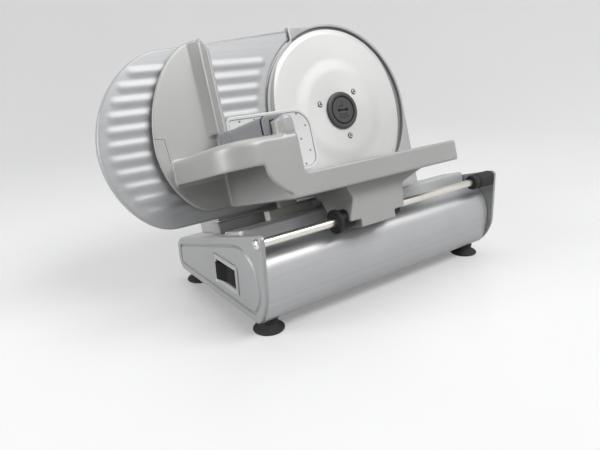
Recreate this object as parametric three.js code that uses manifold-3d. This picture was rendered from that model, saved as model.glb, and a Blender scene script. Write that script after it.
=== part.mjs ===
// Electric food slicer with a disc blade, a sliding carriage and an adjustable thickness plate.
// Millimetres. x runs right along the guide rod, y runs to the back and z is up.
// The head frame leans back by headTilt: its origin is the blade's centre and its y is the blade's axis.
import * as THREE from 'three';
import { mergeVertices } from 'three/addons/utils/BufferGeometryUtils.js';
import Module from 'manifold-3d';

const wasm = await Module();
wasm.setup();

// General sizes
const headTilt = THREE.MathUtils.degToRad(16);
const gap = 0.3;
const overrun = 5;
const sheetThickness = 1.2;
const wall = 2.5;
const curveShare = 0.5;

// The blade's size and place, from which its housing, its plate and the deck are set out
const bladeRadius = 95;
const bladeX = 193;
const deckClearance = 8.8;
const deckDrop = bladeRadius + deckClearance;

// Base
const baseWidth = 317;
const endPlate = 4;
const groundClearance = 14.5;
const baseDepth = 194;
const plateCornerRadius = 6;
const plateBackRadius = 12;
const plateNoseDepth = 19;
const plateNoseHeight = 32;
const panelMargin = 8;
const panelDepth = 0.8;
const panelRadius = 22;

// Guide rod, the carriage's front rail
const rodHeight = 95.4;
const rodRadius = 4;
const rodSetback = 7.5;
const rodDistance = 92.4;
const rodBelowDeck = 7.7;
const rodDepth = deckDrop + rodBelowDeck;
const rodScrewRadius = 2.2;
const rodScrewDepth = 14;
const domeRadius = 4.9;
const domeHeight = 2.6;
const bufferRadius = 8.5;
const bufferLength = 32;

// Deck, front shell, plinth and rear rail
const deckFront = 60;
const deckBack = 96;
const deckStepFront = 26;
const deckStep = 3.8;
const deckLip = 8;
const deckLipRadius = 3;
const deckCornerRadius = 9;
const shellSetback = 5.5;
const shellBulgeHeight = 50;
const shellFlange = 20;
const shellChannel = 10;
const shellShare = 0.62;
const noseShare = 0.35;
const plinthHeight = 12;
const plinthDepth = 20;
const plinthSetback = 4.5;
const plinthInset = 8;
const railWidth = 12;
const railHeight = 1;
const railForward = 9;
const plinthScrewRadius = 2.6;

// Feet
const footRadius = 15.5;
const footNeckRadius = 8;
const footInset = 17;
const footFront = 27.5;
const footBack = 8.5;
const footScrewRadius = 2;
const footScrewHead = 4;
const footDish = 2.4;

// Blade and hub
const bladeThickness = 1.5;
const bevelWidth = 6.5;
const bevelDepth = 0.9;
const bossRadius = 52;
const bossHeight = 1.5;
const bladeBore = 10;
const hubFlangeRadius = 36;
const hubFlange = 1.7;
const hubShaftRadius = 8;
const hubBore = 5.4;
const screwCircle = 30.5;
const screwStart = THREE.MathUtils.degToRad(160.5);
const bladeScrewCount = 3;
const screwHeadRadius = 2.7;
const screwHeadHeight = 1.1;
const screwShank = 1.3;
const nutRadius = 21.5;
const nutHeight = 3.2;
const nutRim = 2.6;
const nutStemLength = 12;
const slotLength = 14;
const slotWidth = 2.6;
const slotDepth = 1.4;

// Blade housing with the guard edge round the disc
const guardGap = 2;
const guardWall = 3;
const guardLip = 1;
const guardTopRise = 3;
const guardTop = bladeRadius + guardTopRise;
const dishSetback = 4.2;
const housingDepth = 78;
const guardTopReach = 50.5;
const guardTopLeft = bladeX - guardTopReach;
const guardFootReach = 37;
const guardFootLeft = bladeX - guardFootReach;
const caseInset = 18;
const caseLeft = bladeX - bladeRadius + caseInset;
const caseTopMargin = 10;
const caseKneeInset = 45;
const caseKnee = bladeRadius - caseKneeInset;
const caseCornerRadius = 18;
const sleeveWall = 5.2;
const sleeveLength = 20;
const ventCount = 7;
const ventWidth = 4;
const ventPitch = 12;
const ventLength = 60;

// Worm drive and motor
const wheelTeeth = 36;
const wormStarts = 2;
const toothModule = 2;
const wheelWidth = 8;
const wheelSetback = 38;
const wheelWeb = 4;
const wheelRim = 6;
const toothTipShare = 0.28;
const toothRootShare = 0.42;
const wormCore = 4.6;
const threadRadius = 1.5;
const wormLength = 26;
const meshClearance = 0.6;
const motorRadius = 28;
const motorLength = 50;
const motorMargin = 7;
const motorShaftRadius = 3.5;
const armatureRadius = 20;
const bearingReach = 26;
const bearingLeft = bladeX - bearingReach;
const bearingWidth = 7;
const bearingMargin = 2.4;

// Thickness plate, its slide, its cam and its knob
const plateReach = 86;
const plateTopInset = 12.5;
const plateTop = bladeRadius - plateTopInset;
const plateRise = 12.5;
const plateWidest = 11;
const plateUpperRun = 80;
const plateLowerRun = 57;
const plateBottomInset = 7;
const plateBottom = bladeRadius - plateBottomInset;
const plateSheet = 2.5;
const plateFlange = 8;
const plateRightReach = 52;
const plateRight = bladeX - plateRightReach;
const plateSetback = 0.6;
const plateEdgeGap = 3.5;
const ribCount = 11;
const ribTopMargin = 19.9;
const ribFootMargin = 19.6;
const ribTop = plateTop - ribTopMargin;
const ribPitch = (ribTop + plateBottom - ribFootMargin) / (ribCount - 1);
const ribRadius = 2.6;
const ribHeight = 1.3;
const ribRightMargin = 11;
const ribLeftMargin = 9;
const travel = 15;
const slideTop = 25;
const slideFront = 27;
const slideBack = 80;
const slideCornerRadius = 8;
const carrierMargin = 32;
const carrierX = caseLeft - carrierMargin;
const carrierRise = 26;
const carrierDrop = plateBottom - carrierRise;
const carrierWidth = 20;
const carrierHeight = 16;
const carrierPad = 36;
const carrierPadDepth = 4;
const drumReach = 32;
const drumX = carrierX - drumReach;
const slideLeftMargin = 28;
const slideLeft = drumX - slideLeftMargin;
const slideRightMargin = 26;
const slideRight = carrierX + slideRightMargin;
const drumRadius = 15;
const drumFront = 34;
const drumBack = 66;
const drumShaftRadius = 5;
const grooveRadius = 2.6;
const grooveDepth = 3.4;
const grooveEnd = THREE.MathUtils.degToRad(15);
const pinRadius = 2;
const pinDepth = 1.8;
const knobTurn = THREE.MathUtils.degToRad(270);
const knobRadius = 22;
const knobLength = 17;
const knobGrips = 16;
const knobGripRadius = 2;
const knobBoreDepth = 10;

// Carriage casting
const carriageSheet = 3;
const dPlateForward = 6;
const dPlateReach = 38;
const dPlateTop = 87;
const dPlateWidest = 14;
const dPlateBottom = 79;
const dUpperRun = 66;
const dLowerRun = 45;
const finX = 26.5;
const finForward = 29;
const finTopRun = 15;
const chamferRun = 10;
const chamferDepth = 7;
const chamferBottom = 7;
const shelfDrop = 25;
const shelfSkirt = 23;
const shelfReach = 25;
const shelfRight = 43;
const shelfCorner = 32;
const trayFront = 125;
const trayBack = 5;
const trayDrop = 60;
const trayBottom = 80;
const trayRight = 233;
const trayCorner = 7;
const trayEdgeRadius = 3;
const apronLeft = 6;
const apronRun = 38;
const hornLeft = 29;
const hornRight = 40;
const hornTop = 10.5;
const hornDepth = 11;
const hornRadius = 5;
const railTop = 13;

// Carriage bracket, bushes and rear shoe
const bracketFront = 107;
const bracketBack = 82;
const bracketTopLeft = 95;
const bracketTopRight = 198;
const bracketLeft = 92;
const bracketRight = 161;
const bracketBelowRod = 10;
const bracketBottom = rodDepth + bracketBelowRod;
const bracketNeckShares = [0.12, 0.69];
const bracketShoulderShares = [0.78, 0.76];
const bracketRadius = 4;
const bracketWebReach = 42;
const bracketWebFoot = 5;
const notchWidth = 13;
const notchHeight = 8;
const bushRadius = 8;
const bushLength = 14;
const bushOverhang = 4;
const ringRadius = 11.7;
const ringWidth = 4;
const shoeLeft = 59;
const shoeLength = 55;
const shoeHeight = 10.5;
const shoeForward = 9;
const shoeWidth = 11;
const shoeNeck = 22;
const shoeClearance = 0.5;

// Food pusher
const pusherPlateLeft = 31;
const pusherPlateWidth = 100;
const pusherPlateTop = 6.5;
const pusherPlateBottom = 58;
const pusherPlateForward = 22;
const pusherSheet = 3;
const pusherCorner = 22;
const pusherFootCorner = 14;
const pusherRim = 3;
const pusherRimHeight = 0.8;
const pusherLeft = 19;
const pusherRight = 42;
const pusherTop = 8;
const pusherEnd = 113;
const pusherRadius = 6;
const pusherFit = 0.6;
const pusherTravel = 11;
const spikeRows = 5;
const spikeColumns = 5;
const spikePitch = 16.9;
const spikeRowPitch = 13.3;
const spikeRadius = 1.3;
const spikeLength = 5;
const spikeTop = 1;
const spikeRight = 113.8;

// Switch and cord gland
const switchFront = 42;
const switchLength = 47.5;
const switchBottom = 31;
const switchHeight = 29.3;
const bezelThickness = 1.2;
const bezelWidth = 4.5;
const switchDepth = 12;
const switchBodyDepth = 14;
const rockerTilt = THREE.MathUtils.degToRad(7);
const rockerPivot = 6;
const rockerWidth = 34;
const rockerHeight = 19;
const rockerRise = 1.6;
const rockerRadius = 3.4;
const glandRadius = 6;
const glandLength = 12;
const glandX = 60;
const glandHeight = 30;

// Hand-chosen shares of the radius and the height of the piece that they shape
const domeShares = [[0.6, 0.82], [0.92, 0.4]];
const footShares = [[0.7, 0.08], [0.86, 0], [0.96, 0], [1, 0.12], [0.66, 0.45]];
const nutShares = [[0.72, 1], [0.82, 0.8], [0.86, 0.8]];

// Finishes: colour, roughness, metalness
const finishes = {
  castAluminium: { color: 0xc3c4c2, roughness: 0.45, metalness: 0.55 },
  brushedSteel: { color: 0xc9cacb, roughness: 0.32, metalness: 1 },
  polishedSteel: { color: 0xdcdddf, roughness: 0.16, metalness: 1 },
  greyPlastic: { color: 0x8a8c8e, roughness: 0.55, metalness: 0 },
  blackPlastic: { color: 0x141416, roughness: 0.5, metalness: 0 },
  rubber: { color: 0x0e0e0f, roughness: 0.75, metalness: 0 },
  clearPlastic: { color: 0xe8eef4, roughness: 0.1, metalness: 0, transparent: true, opacity: 0.35 },
  smokyPlastic: { color: 0x8c93ad, roughness: 0.15, metalness: 0, transparent: true, opacity: 0.6 },
  nylon: { color: 0xe9e4d4, roughness: 0.6, metalness: 0 },
};

// Places worked out from the sizes above
const sinTilt = Math.sin(headTilt);
const cosTilt = Math.cos(headTilt);
const headY = rodDistance * cosTilt + rodDepth * sinTilt;
const headZ = rodHeight + rodDepth * cosTilt - rodDistance * sinTilt;
const frontFace = -rodSetback;
const backFace = frontFace + baseDepth;
const innerLeft = endPlate + gap;
const innerRight = baseWidth - endPlate - gap;
const guardRadius = bladeRadius + guardGap + guardWall;
const guardRight = bladeX + guardRadius;
const motorEnd = guardRight - motorMargin;
const motorStart = motorEnd - motorLength;
const pitchRadius = wheelTeeth * toothModule / 2;
const caseTop = pitchRadius + caseTopMargin;
const wormDrop = pitchRadius + wormCore + threadRadius / 2;
const standTop = -deckDrop + gap;
const plinthTop = -deckDrop + plinthHeight;
const wormAxis = [wheelSetback, -wormDrop];

const slicer = new THREE.Group();
const head = new THREE.Group();
head.rotation.x = -headTilt;
head.position.set(0, headY, headZ);
slicer.add(head);

/** A point of the head frame in the base's frame, as [y, z]. */
function headPoint(y, z) {
  return [headY + y * cosTilt + z * sinTilt, headZ - y * sinTilt + z * cosTilt];
}

/** Height above the floor, at a place y, of the head frame's plane z = -drop. */
function planeHeight(drop, y) {
  return headZ - (y - headY) * Math.tan(headTilt) - drop / cosTilt;
}

/** A closed solid from any closed three.js geometry. */
function solid(geometry) {
  const bare = geometry.clone();
  bare.deleteAttribute('normal');
  bare.deleteAttribute('uv');
  const merged = mergeVertices(bare);
  const vertProperties = new Float32Array(merged.attributes.position.array);
  const triVerts = new Uint32Array(merged.index.array);
  return new wasm.Manifold(new wasm.Mesh({ numProp: 3, vertProperties, triVerts }));
}

/** The three.js geometry of a solid. */
function geometryOf(shape) {
  const mesh = shape.getMesh();
  const geometry = new THREE.BufferGeometry();
  geometry.setAttribute('position', new THREE.BufferAttribute(new Float32Array(mesh.vertProperties), 3));
  geometry.setIndex(new THREE.BufferAttribute(new Uint32Array(mesh.triVerts), 1));
  return geometry;
}

/** Joins solids one after another. */
function join(first, ...others) {
  return others.reduce((sum, next) => sum.add(next), first);
}

/** Cuts solids out of the first one. */
function cut(first, ...others) {
  return others.reduce((rest, next) => rest.subtract(next), first);
}

/** Names a solid, gives it a finish and hangs it in a group. */
function place(name, shape, finish, group = head) {
  const material = new THREE.MeshStandardMaterial({ ...finishes[finish], flatShading: true });
  const mesh = new THREE.Mesh(geometryOf(shape), material);
  mesh.name = name;
  group.add(mesh);
  return mesh;
}

/** An outline from corners [x, y] or [x, y, fillet], each fillet as a curve. */
function outline(corners) {
  const path = new THREE.Shape();
  const points = corners.map(([x, y]) => new THREE.Vector2(x, y));
  corners.forEach(([x, y, fillet = 0], i) => {
    const here = points[i];
    const before = points.at(i - 1);
    const after = points[(i + 1) % points.length];
    const reach = Math.min(fillet, here.distanceTo(before) / 2, here.distanceTo(after) / 2);
    const enter = here.clone().lerp(before, reach / here.distanceTo(before));
    const leave = here.clone().lerp(after, reach / here.distanceTo(after));
    if (i === 0) {
      path.moveTo(enter.x, enter.y);
    } else {
      path.lineTo(enter.x, enter.y);
    }
    if (reach > 0) {
      path.quadraticCurveTo(x, y, leave.x, leave.y);
    }
  });
  path.closePath();
  return path;
}

/** Goes on along a smooth quarter turn, drawn towards the corner by a share, to its end. */
function swing(path, corner, end, share = curveShare) {
  const start = path.currentPoint.clone();
  const bend = new THREE.Vector2(...corner);
  const finish = new THREE.Vector2(...end);
  const leave = start.lerp(bend, share);
  const arrive = finish.clone().lerp(bend, share);
  path.bezierCurveTo(leave.x, leave.y, arrive.x, arrive.y, finish.x, finish.y);
}

/** Extrudes an outline and turns its own x, y and depth along the three given axes. */
function slab(shape, depth, axes, curveSegments = 8) {
  const geometry = new THREE.ExtrudeGeometry(shape, { depth, bevelEnabled: false, curveSegments });
  return geometry.applyMatrix4(new THREE.Matrix4().makeBasis(...axes));
}

const axisX = new THREE.Vector3(1, 0, 0);
const axisY = new THREE.Vector3(0, 1, 0);
const axisZ = new THREE.Vector3(0, 0, 1);
const toFront = new THREE.Vector3(0, -1, 0);

/** A plate that faces the front: outline in x and z, from its back y towards the front. */
function facing(shape, back, depth, curveSegments) {
  return solid(slab(shape, depth, [axisX, axisZ, toFront], curveSegments).translate(0, back, 0));
}

/** A section in y and z, run along x. */
function along(shape, left, length, curveSegments) {
  return solid(slab(shape, length, [axisY, axisZ, axisX], curveSegments).translate(left, 0, 0));
}

/** A plan outline in x and y, raised from a height. */
function raised(shape, bottom, height, curveSegments) {
  return solid(slab(shape, height, [axisX, axisY, axisZ], curveSegments).translate(0, 0, bottom));
}

/** A box between two corners. */
function block(x0, x1, y0, y1, z0, z1) {
  const geometry = new THREE.BoxGeometry(x1 - x0, y1 - y0, z1 - z0);
  return solid(geometry.translate((x0 + x1) / 2, (y0 + y1) / 2, (z0 + z1) / 2));
}

/** A cylinder along x, y or z from a start place. */
function rod(axis, radius, length, start, segments = 20) {
  const geometry = new THREE.CylinderGeometry(radius, radius, length, segments).translate(0, length / 2, 0);
  if (axis === 'x') {
    geometry.rotateZ(-Math.PI / 2);
  }
  if (axis === 'z') {
    geometry.rotateX(Math.PI / 2);
  }
  return solid(geometry.translate(...start));
}

/** A body of revolution from [radius, height] points, its axis along y. */
function turned(points, segments = 32) {
  const profile = points.map(([radius, height]) => new THREE.Vector2(radius, height));
  return new THREE.LatheGeometry(profile, segments);
}

/** A body of revolution with a bore: its profile closes on itself. */
function turnedRing(points, segments) {
  return turned([...points, points[0]], segments);
}

/** A helix about the y axis. */
class Helix extends THREE.Curve {
  constructor(radius, startAngle, turn, start, advance) {
    super();
    Object.assign(this, { radius, startAngle, turn, start, advance });
  }

  getPoint(t, target = new THREE.Vector3()) {
    const angle = this.startAngle + this.turn * t;
    const y = this.start + this.advance * t;
    return target.set(this.radius * Math.cos(angle), y, -this.radius * Math.sin(angle));
  }
}

/** A round bar along a curve. */
function bar(curve, radius, steps, sides) {
  const section = new THREE.Shape();
  section.absarc(0, 0, radius, 0, 2 * Math.PI);
  const options = { steps, extrudePath: curve, bevelEnabled: false, curveSegments: sides };
  return new THREE.ExtrudeGeometry(section, options);
}

// Base

/** The end plates' side view, drawn inwards by a margin, with its top edge square to the blade. */
function sideOutline(margin, cornerRadius) {
  const frontY = frontFace + margin;
  const backY = backFace - margin;
  const bottom = groundClearance + margin;
  const top = (y) => planeHeight(deckDrop, y) - margin;
  const backRadius = plateBackRadius - margin;
  const shape = new THREE.Shape();
  shape.moveTo(frontFace + plateNoseDepth + margin / 2, bottom);
  shape.lineTo(backY - backRadius, bottom);
  swing(shape, [backY, bottom], [backY, bottom + backRadius]);
  shape.lineTo(backY, top(backY) - backRadius);
  swing(shape, [backY, top(backY)], [backY - backRadius, top(backY - backRadius)]);
  shape.lineTo(frontY + cornerRadius, top(frontY + cornerRadius));
  swing(shape, [frontY, top(frontY)], [frontY, top(frontY) - cornerRadius]);
  shape.lineTo(frontY, groundClearance + plateNoseHeight);
  swing(shape, [frontY, bottom], [frontFace + plateNoseDepth + margin / 2, bottom], noseShare);
  return shape;
}

/** The switch's room in the left end plate, wider by a fit, between two places across the plate. */
function switchRoom(x0, x1, fit) {
  const inset = bezelWidth / 2 - fit;
  return block(x0, x1, switchFront + inset, switchFront + switchLength - inset,
    switchBottom + inset, switchBottom + switchHeight - inset);
}

/** End plate with the rod's screw hole and a shallow sunk panel on its outer face. */
function buildEndPlate(name, left, panelLeft) {
  const bore = rod('x', rodScrewRadius + gap, endPlate + 2 * overrun, [left - overrun, 0, rodHeight]);
  const panel = along(sideOutline(panelMargin, panelRadius), panelLeft, overrun + panelDepth);
  const plate = cut(along(sideOutline(0, plateCornerRadius), left, endPlate), bore, panel);
  const room = switchRoom(-overrun, endPlate + overrun, gap);
  place(name, left > 0 ? plate : cut(plate, room), 'castAluminium', slicer);
}

/** Places of the four feet in plan. */
const footPlaces = [
  ['front_left', footInset, frontFace + footFront],
  ['front_right', baseWidth - footInset, frontFace + footFront],
  ['back_left', footInset, backFace - footBack - footRadius / 2],
  ['back_right', baseWidth - footInset, backFace - footBack - footRadius / 2],
];

/** Holes of the foot screws. */
function footHoles() {
  const start = groundClearance - overrun;
  return footPlaces.map(([, x, y]) => rod('z', footScrewRadius + gap, wall + 2 * overrun, [x, y, start]));
}

/** One side of the front sheet: flange, belly, bulge and top, drawn inwards by an inset. */
function shellEdge(inset) {
  const [topY, topZ] = headPoint(-deckFront, -deckDrop - shellChannel);
  const foot = [frontFace + plateNoseDepth, groundClearance + inset];
  const bulge = [frontFace + shellSetback + inset, shellBulgeHeight];
  const edge = new THREE.Path();
  edge.moveTo(foot[0] + shellFlange, foot[1]);
  edge.lineTo(...foot);
  swing(edge, [bulge[0], foot[1]], bulge, shellShare);
  swing(edge, [bulge[0], topZ - inset], [topY, topZ - inset], shellShare);
  return edge.getPoints(12);
}

/** The bent front sheet between the end plates. */
function buildFrontShell() {
  const section = new THREE.Shape([...shellEdge(0), ...shellEdge(sheetThickness).reverse()]);
  const shell = along(section, innerLeft, innerRight - innerLeft);
  place('front_shell', cut(shell, ...footHoles()), 'brushedSteel', slicer);
}

/** Deck, square to the blade: a step up to the front, a rounded lip and rounded front corners. */
function buildDeck() {
  const low = -deckDrop;
  const high = low + deckStep;
  const under = outline([[deckBack + overrun, low - wall], [-deckStepFront + deckStep - wall, low - wall],
    [-deckStepFront - wall, high - wall], [-deckFront + wall, high - wall],
    [-deckFront + wall, low - deckLip - overrun], [deckBack + overrun, low - deckLip - overrun]]);
  const width = innerRight - innerLeft;
  const whole = outline([[deckBack, low - deckLip], [deckBack, low], [-deckStepFront + deckStep, low],
    [-deckStepFront, high], [-deckFront, high, deckLipRadius], [-deckFront, low - deckLip]]);
  const plan = outline([[innerLeft, deckBack + overrun], [innerLeft, -deckFront, deckCornerRadius],
    [innerRight, -deckFront, deckCornerRadius], [innerRight, deckBack + overrun]]);
  const rounded = raised(plan, low - deckLip - overrun, deckStep + deckLip + 2 * overrun);
  const body = cut(along(whole, innerLeft, width), along(under, innerLeft - overrun, width + 2 * overrun));
  place('deck', body.intersect(rounded), 'castAluminium');
}

/** Bottom cover, back wall and the cord's gland in it. */
function buildCovers() {
  const coverFront = frontFace + plateNoseDepth + shellFlange + gap;
  const coverBack = backFace - plateBackRadius / 3;
  const cover = block(innerLeft, innerRight, coverFront, coverBack,
    groundClearance, groundClearance + wall);
  place('bottom_cover', cut(cover, ...footHoles()), 'greyPlastic', slicer);
  const wallBottom = groundClearance + wall + gap;
  const wallTop = planeHeight(deckDrop + wall + gap, coverBack);
  const start = coverBack - sheetThickness;
  const gland = rod('y', glandRadius + gap, sheetThickness + 2 * overrun,
    [glandX, start - overrun, glandHeight]);
  const back = block(innerLeft, innerRight, start, coverBack, wallBottom, wallTop);
  place('back_wall', cut(back, gland), 'brushedSteel', slicer);
  const flange = glandRadius + wall;
  const bore = glandRadius / 2;
  const neck = turnedRing([[bore, -glandLength / 2], [glandRadius, -glandLength / 2], [glandRadius, gap],
    [flange, gap], [flange, sheetThickness + gap], [glandRadius, sheetThickness + gap],
    [bore + sheetThickness, glandLength],
    [bore, glandLength]], 16);
  place('cord_gland', solid(neck.translate(glandX, coverBack, glandHeight)), 'blackPlastic', slicer);
}

/** Suction foot and its screw from inside the base. */
function buildFoot(name, x, y) {
  const top = groundClearance - gap;
  const bore = footScrewRadius + gap;
  const skirt = footShares.map(([radiusShare, heightShare]) =>
    [radiusShare * footRadius, heightShare * top]);
  const profile = [[0, footDish], ...skirt, [footNeckRadius, top * curveShare], [footNeckRadius, top],
    [bore, top], [bore, top / 2], [0, top / 2]];
  const foot = turned(profile, 24).rotateX(Math.PI / 2).translate(x, y, 0);
  place(`foot_${name}`, solid(foot), 'rubber', slicer);
  const seat = groundClearance + wall + gap;
  const tip = top / 2 + gap;
  const screw = join(rod('z', footScrewRadius, seat - tip + gap, [x, y, tip], 12),
    rod('z', footScrewHead, sheetThickness, [x, y, seat], 12));
  place(`foot_screw_${name}`, screw, 'polishedSteel', slicer);
}

/** Dome-headed screw through an end plate; side 1 sits on the left plate and -1 on the right one. */
function buildDomeScrew(name, seat, side) {
  const shank = endPlate + rodScrewDepth / 2;
  const dome = domeShares.map(([radiusShare, heightShare]) =>
    [radiusShare * domeRadius, -heightShare * domeHeight]);
  const profile = [[0, -domeHeight], ...dome, [domeRadius, 0],
    [rodScrewRadius, 0], [rodScrewRadius, shank],
    [0, shank]];
  const screw = turned(profile, 16).rotateZ(-side * Math.PI / 2).translate(seat, 0, rodHeight);
  place(name, solid(screw), 'polishedSteel', slicer);
}

/** Guide rod with its end screws and the buffer sleeve. */
function buildRod() {
  const length = innerRight - innerLeft;
  const holes = [innerLeft - overrun, innerRight - rodScrewDepth].map((x) =>
    rod('x', rodScrewRadius + gap, rodScrewDepth + overrun, [x, -rodDistance, -rodDepth]));
  const bar = rod('x', rodRadius, length, [innerLeft, -rodDistance, -rodDepth]);
  place('guide_rod', cut(bar, ...holes), 'polishedSteel');
  buildDomeScrew('rod_screw_left', -gap, 1);
  buildDomeScrew('rod_screw_right', baseWidth + gap, -1);
  const start = innerRight - bufferLength;
  const sleeve = cut(rod('x', bufferRadius, bufferLength - gap, [start, -rodDistance, -rodDepth]),
    rod('x', rodRadius + gap, bufferLength + 2 * overrun, [start - overrun, -rodDistance, -rodDepth]));
  place('buffer_sleeve', sleeve, 'rubber');
}

/** Plinth in front of the motor housing, its screw, and the strip that the rear shoe runs on. */
function buildPlinth() {
  const left = innerLeft + plinthInset;
  const top = plinthTop;
  const back = plinthSetback + plinthDepth;
  const plinth = block(left, guardFootLeft - gap, plinthSetback, back, standTop, top);
  const screwX = left + plinthScrewRadius + sheetThickness;
  const screwY = plinthSetback + plinthScrewRadius + sheetThickness;
  const shank = plinthScrewRadius / 2;
  const hole = rod('z', shank + gap, plinthHeight, [screwX, screwY, top - plinthHeight / 2]);
  place('plinth', cut(plinth, hole), 'castAluminium');
  const dome = domeShares.map(([radiusShare, heightShare]) =>
    [radiusShare * plinthScrewRadius, heightShare * plinthScrewRadius]);
  const profile = [[0, -plinthHeight / 3], [shank, -plinthHeight / 3], [shank, 0], [plinthScrewRadius, 0],
    ...dome.reverse(), [0, plinthScrewRadius]];
  const screw = turned(profile, 12).rotateX(Math.PI / 2).translate(screwX, screwY, top + gap);
  place('plinth_screw', solid(screw), 'polishedSteel');
  const strip = block(left, innerRight - plinthInset, -railForward - railWidth, -railForward,
    standTop, standTop + railHeight);
  place('rear_rail', strip, 'polishedSteel');
}

// Switch

/** Bezel and sleeve of the switch, the switch's body behind it and the rocker, tilted to off. */
function buildSwitch() {
  const middleY = switchFront + switchLength / 2;
  const middleZ = switchBottom + switchHeight / 2;
  const frame = block(-gap - bezelThickness, -gap, switchFront, switchFront + switchLength,
    switchBottom, switchBottom + switchHeight);
  const sleeve = switchRoom(-gap, switchDepth, 0);
  const windowRoom = switchRoom(-overrun, switchDepth + overrun, -bezelWidth / 2);
  place('switch_frame', cut(join(frame, sleeve), windowRoom), 'blackPlastic', slicer);
  const bodyStart = switchDepth + gap;
  place('switch_body', switchRoom(bodyStart, bodyStart + switchBodyDepth, 0), 'blackPlastic', slicer);
  const half = rockerWidth / 2;
  const section = outline([[-rockerPivot - rockerRise, -half], [-rockerPivot + rockerRise / 2, 0],
    [-rockerPivot - rockerRise, half], [0, half], [rockerRadius, rockerRadius],
    [rockerRadius, -rockerRadius],
    [0, -half]]);
  const rocker = place('switch_rocker', raised(section, -rockerHeight / 2, rockerHeight),
    'blackPlastic', slicer);
  rocker.position.set(rockerPivot, middleY, middleZ);
  rocker.rotation.z = rockerTilt;
}

// Blade, its housing and its drive

/** Disc blade: raised boss, flat web and a ground bevel towards the edge. */
function buildBlade() {
  const inner = bladeRadius - bevelWidth;
  const middle = (bevelDepth + bladeThickness) / 2;
  const profile = [[bladeBore, -bossHeight], [bossRadius, -bossHeight],
    [bossRadius + bossHeight, 0], [inner, 0],
    [bladeRadius, middle], [inner, bladeThickness], [bossRadius + bossHeight / 2, bladeThickness],
    [bossRadius - bossHeight / 2, bladeThickness - bossHeight], [bladeBore, bladeThickness - bossHeight]];
  const holes = screwPlaces().map(([x, z]) =>
    rod('y', screwShank + gap, 2 * overrun, [x, -overrun, z], 8));
  const disc = solid(turnedRing(profile, 72).translate(bladeX, 0, 0));
  place('blade', cut(disc, ...holes), 'polishedSteel');
}

/** Places of the blade's screws in x and z. */
function screwPlaces() {
  return Array.from({ length: bladeScrewCount }, (_, i) => {
    const angle = screwStart + 2 * Math.PI * i / bladeScrewCount;
    return [bladeX + screwCircle * Math.cos(angle), screwCircle * Math.sin(angle)];
  });
}

/** Hub with its spigot through the blade, flange and shaft, bored for the lock nut's stem. */
function buildHub() {
  const face = bladeThickness - bossHeight + gap;
  const back = face + hubFlange;
  const spigot = bladeBore - gap;
  const end = wheelSetback + wheelWidth / 2 + wall;
  const profile = [[hubBore, -bossHeight], [spigot, -bossHeight], [spigot, face], [hubFlangeRadius, face],
    [hubFlangeRadius, back], [hubShaftRadius, back], [hubShaftRadius, end], [0, end],
    [0, nutStemLength + gap], [hubBore, nutStemLength + gap]];
  const holes = screwPlaces().map(([x, z]) =>
    rod('y', screwShank + gap, 2 * overrun, [x, -overrun, z], 8));
  const hub = solid(turnedRing(profile).translate(bladeX, 0, 0));
  place('blade_hub', cut(hub, ...holes), 'polishedSteel');
  screwPlaces().forEach(([x, z], i) => {
    const seat = -bossHeight - gap;
    const screw = join(rod('y', screwHeadRadius, screwHeadHeight, [x, seat - screwHeadHeight, z], 12),
      rod('y', screwShank, face + hubFlange - seat, [x, seat, z], 8));
    place(`blade_screw_${i + 1}`, screw, 'polishedSteel');
  });
}

/** Lock nut with its ringed face and coin slot. */
function buildLockNut() {
  const back = -bossHeight - gap;
  const face = back - nutHeight;
  const stem = hubBore - gap;
  const rings = nutShares.map(([radiusShare, heightShare]) =>
    [radiusShare * nutRadius, back - heightShare * nutHeight]);
  const profile = [[0, face], ...rings, [nutRadius - nutRim / 2, face], [nutRadius, face + nutRim / 2],
    [nutRadius, back], [stem, back], [stem, nutStemLength], [0, nutStemLength]];
  const slot = block(bladeX - slotLength / 2, bladeX + slotLength / 2, face - overrun, face + slotDepth,
    -slotWidth / 2, slotWidth / 2);
  place('lock_nut', cut(solid(turned(profile, 36).translate(bladeX, 0, 0)), slot), 'blackPlastic');
}

/** The housing's front view: guard edge round the blade, straight right side and left foot. */
function guardOutline(leftRadius) {
  const shape = new THREE.Shape();
  const at = (radius, x) => Math.sqrt(radius ** 2 - (bladeX - x) ** 2);
  shape.moveTo(guardTopLeft, guardTop);
  shape.lineTo(bladeX - Math.sqrt(guardRadius ** 2 - guardTop ** 2), guardTop);
  shape.absarc(bladeX, 0, guardRadius, Math.PI - Math.asin(guardTop / guardRadius), 0, true);
  shape.lineTo(guardRight, standTop);
  shape.lineTo(guardFootLeft, standTop);
  shape.lineTo(guardFootLeft, -at(leftRadius, guardFootLeft));
  const from = Math.PI + Math.acos((bladeX - guardFootLeft) / leftRadius);
  const to = Math.PI - Math.acos((bladeX - guardTopLeft) / leftRadius);
  shape.absarc(bladeX, 0, leftRadius, from, to, true);
  shape.closePath();
  return shape;
}

/** The motor case's front view, drawn inwards by an inset. */
function caseOutline(inset) {
  const left = caseLeft + inset;
  const top = caseTop - inset;
  const radius = guardRadius - inset;
  const bottom = standTop + inset;
  const foot = guardFootLeft + inset;
  const shape = new THREE.Shape();
  shape.moveTo(left, -caseKnee);
  shape.lineTo(left, top - caseCornerRadius);
  swing(shape, [left, top], [left + caseCornerRadius, top]);
  shape.lineTo(bladeX + Math.sqrt(radius ** 2 - top ** 2), top);
  shape.absarc(bladeX, 0, radius, Math.asin(top / radius), 0, true);
  shape.lineTo(guardRight - inset, bottom);
  shape.lineTo(foot, bottom);
  shape.lineTo(foot, plinthTop + gap + inset);
  shape.closePath();
  return shape;
}

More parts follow.
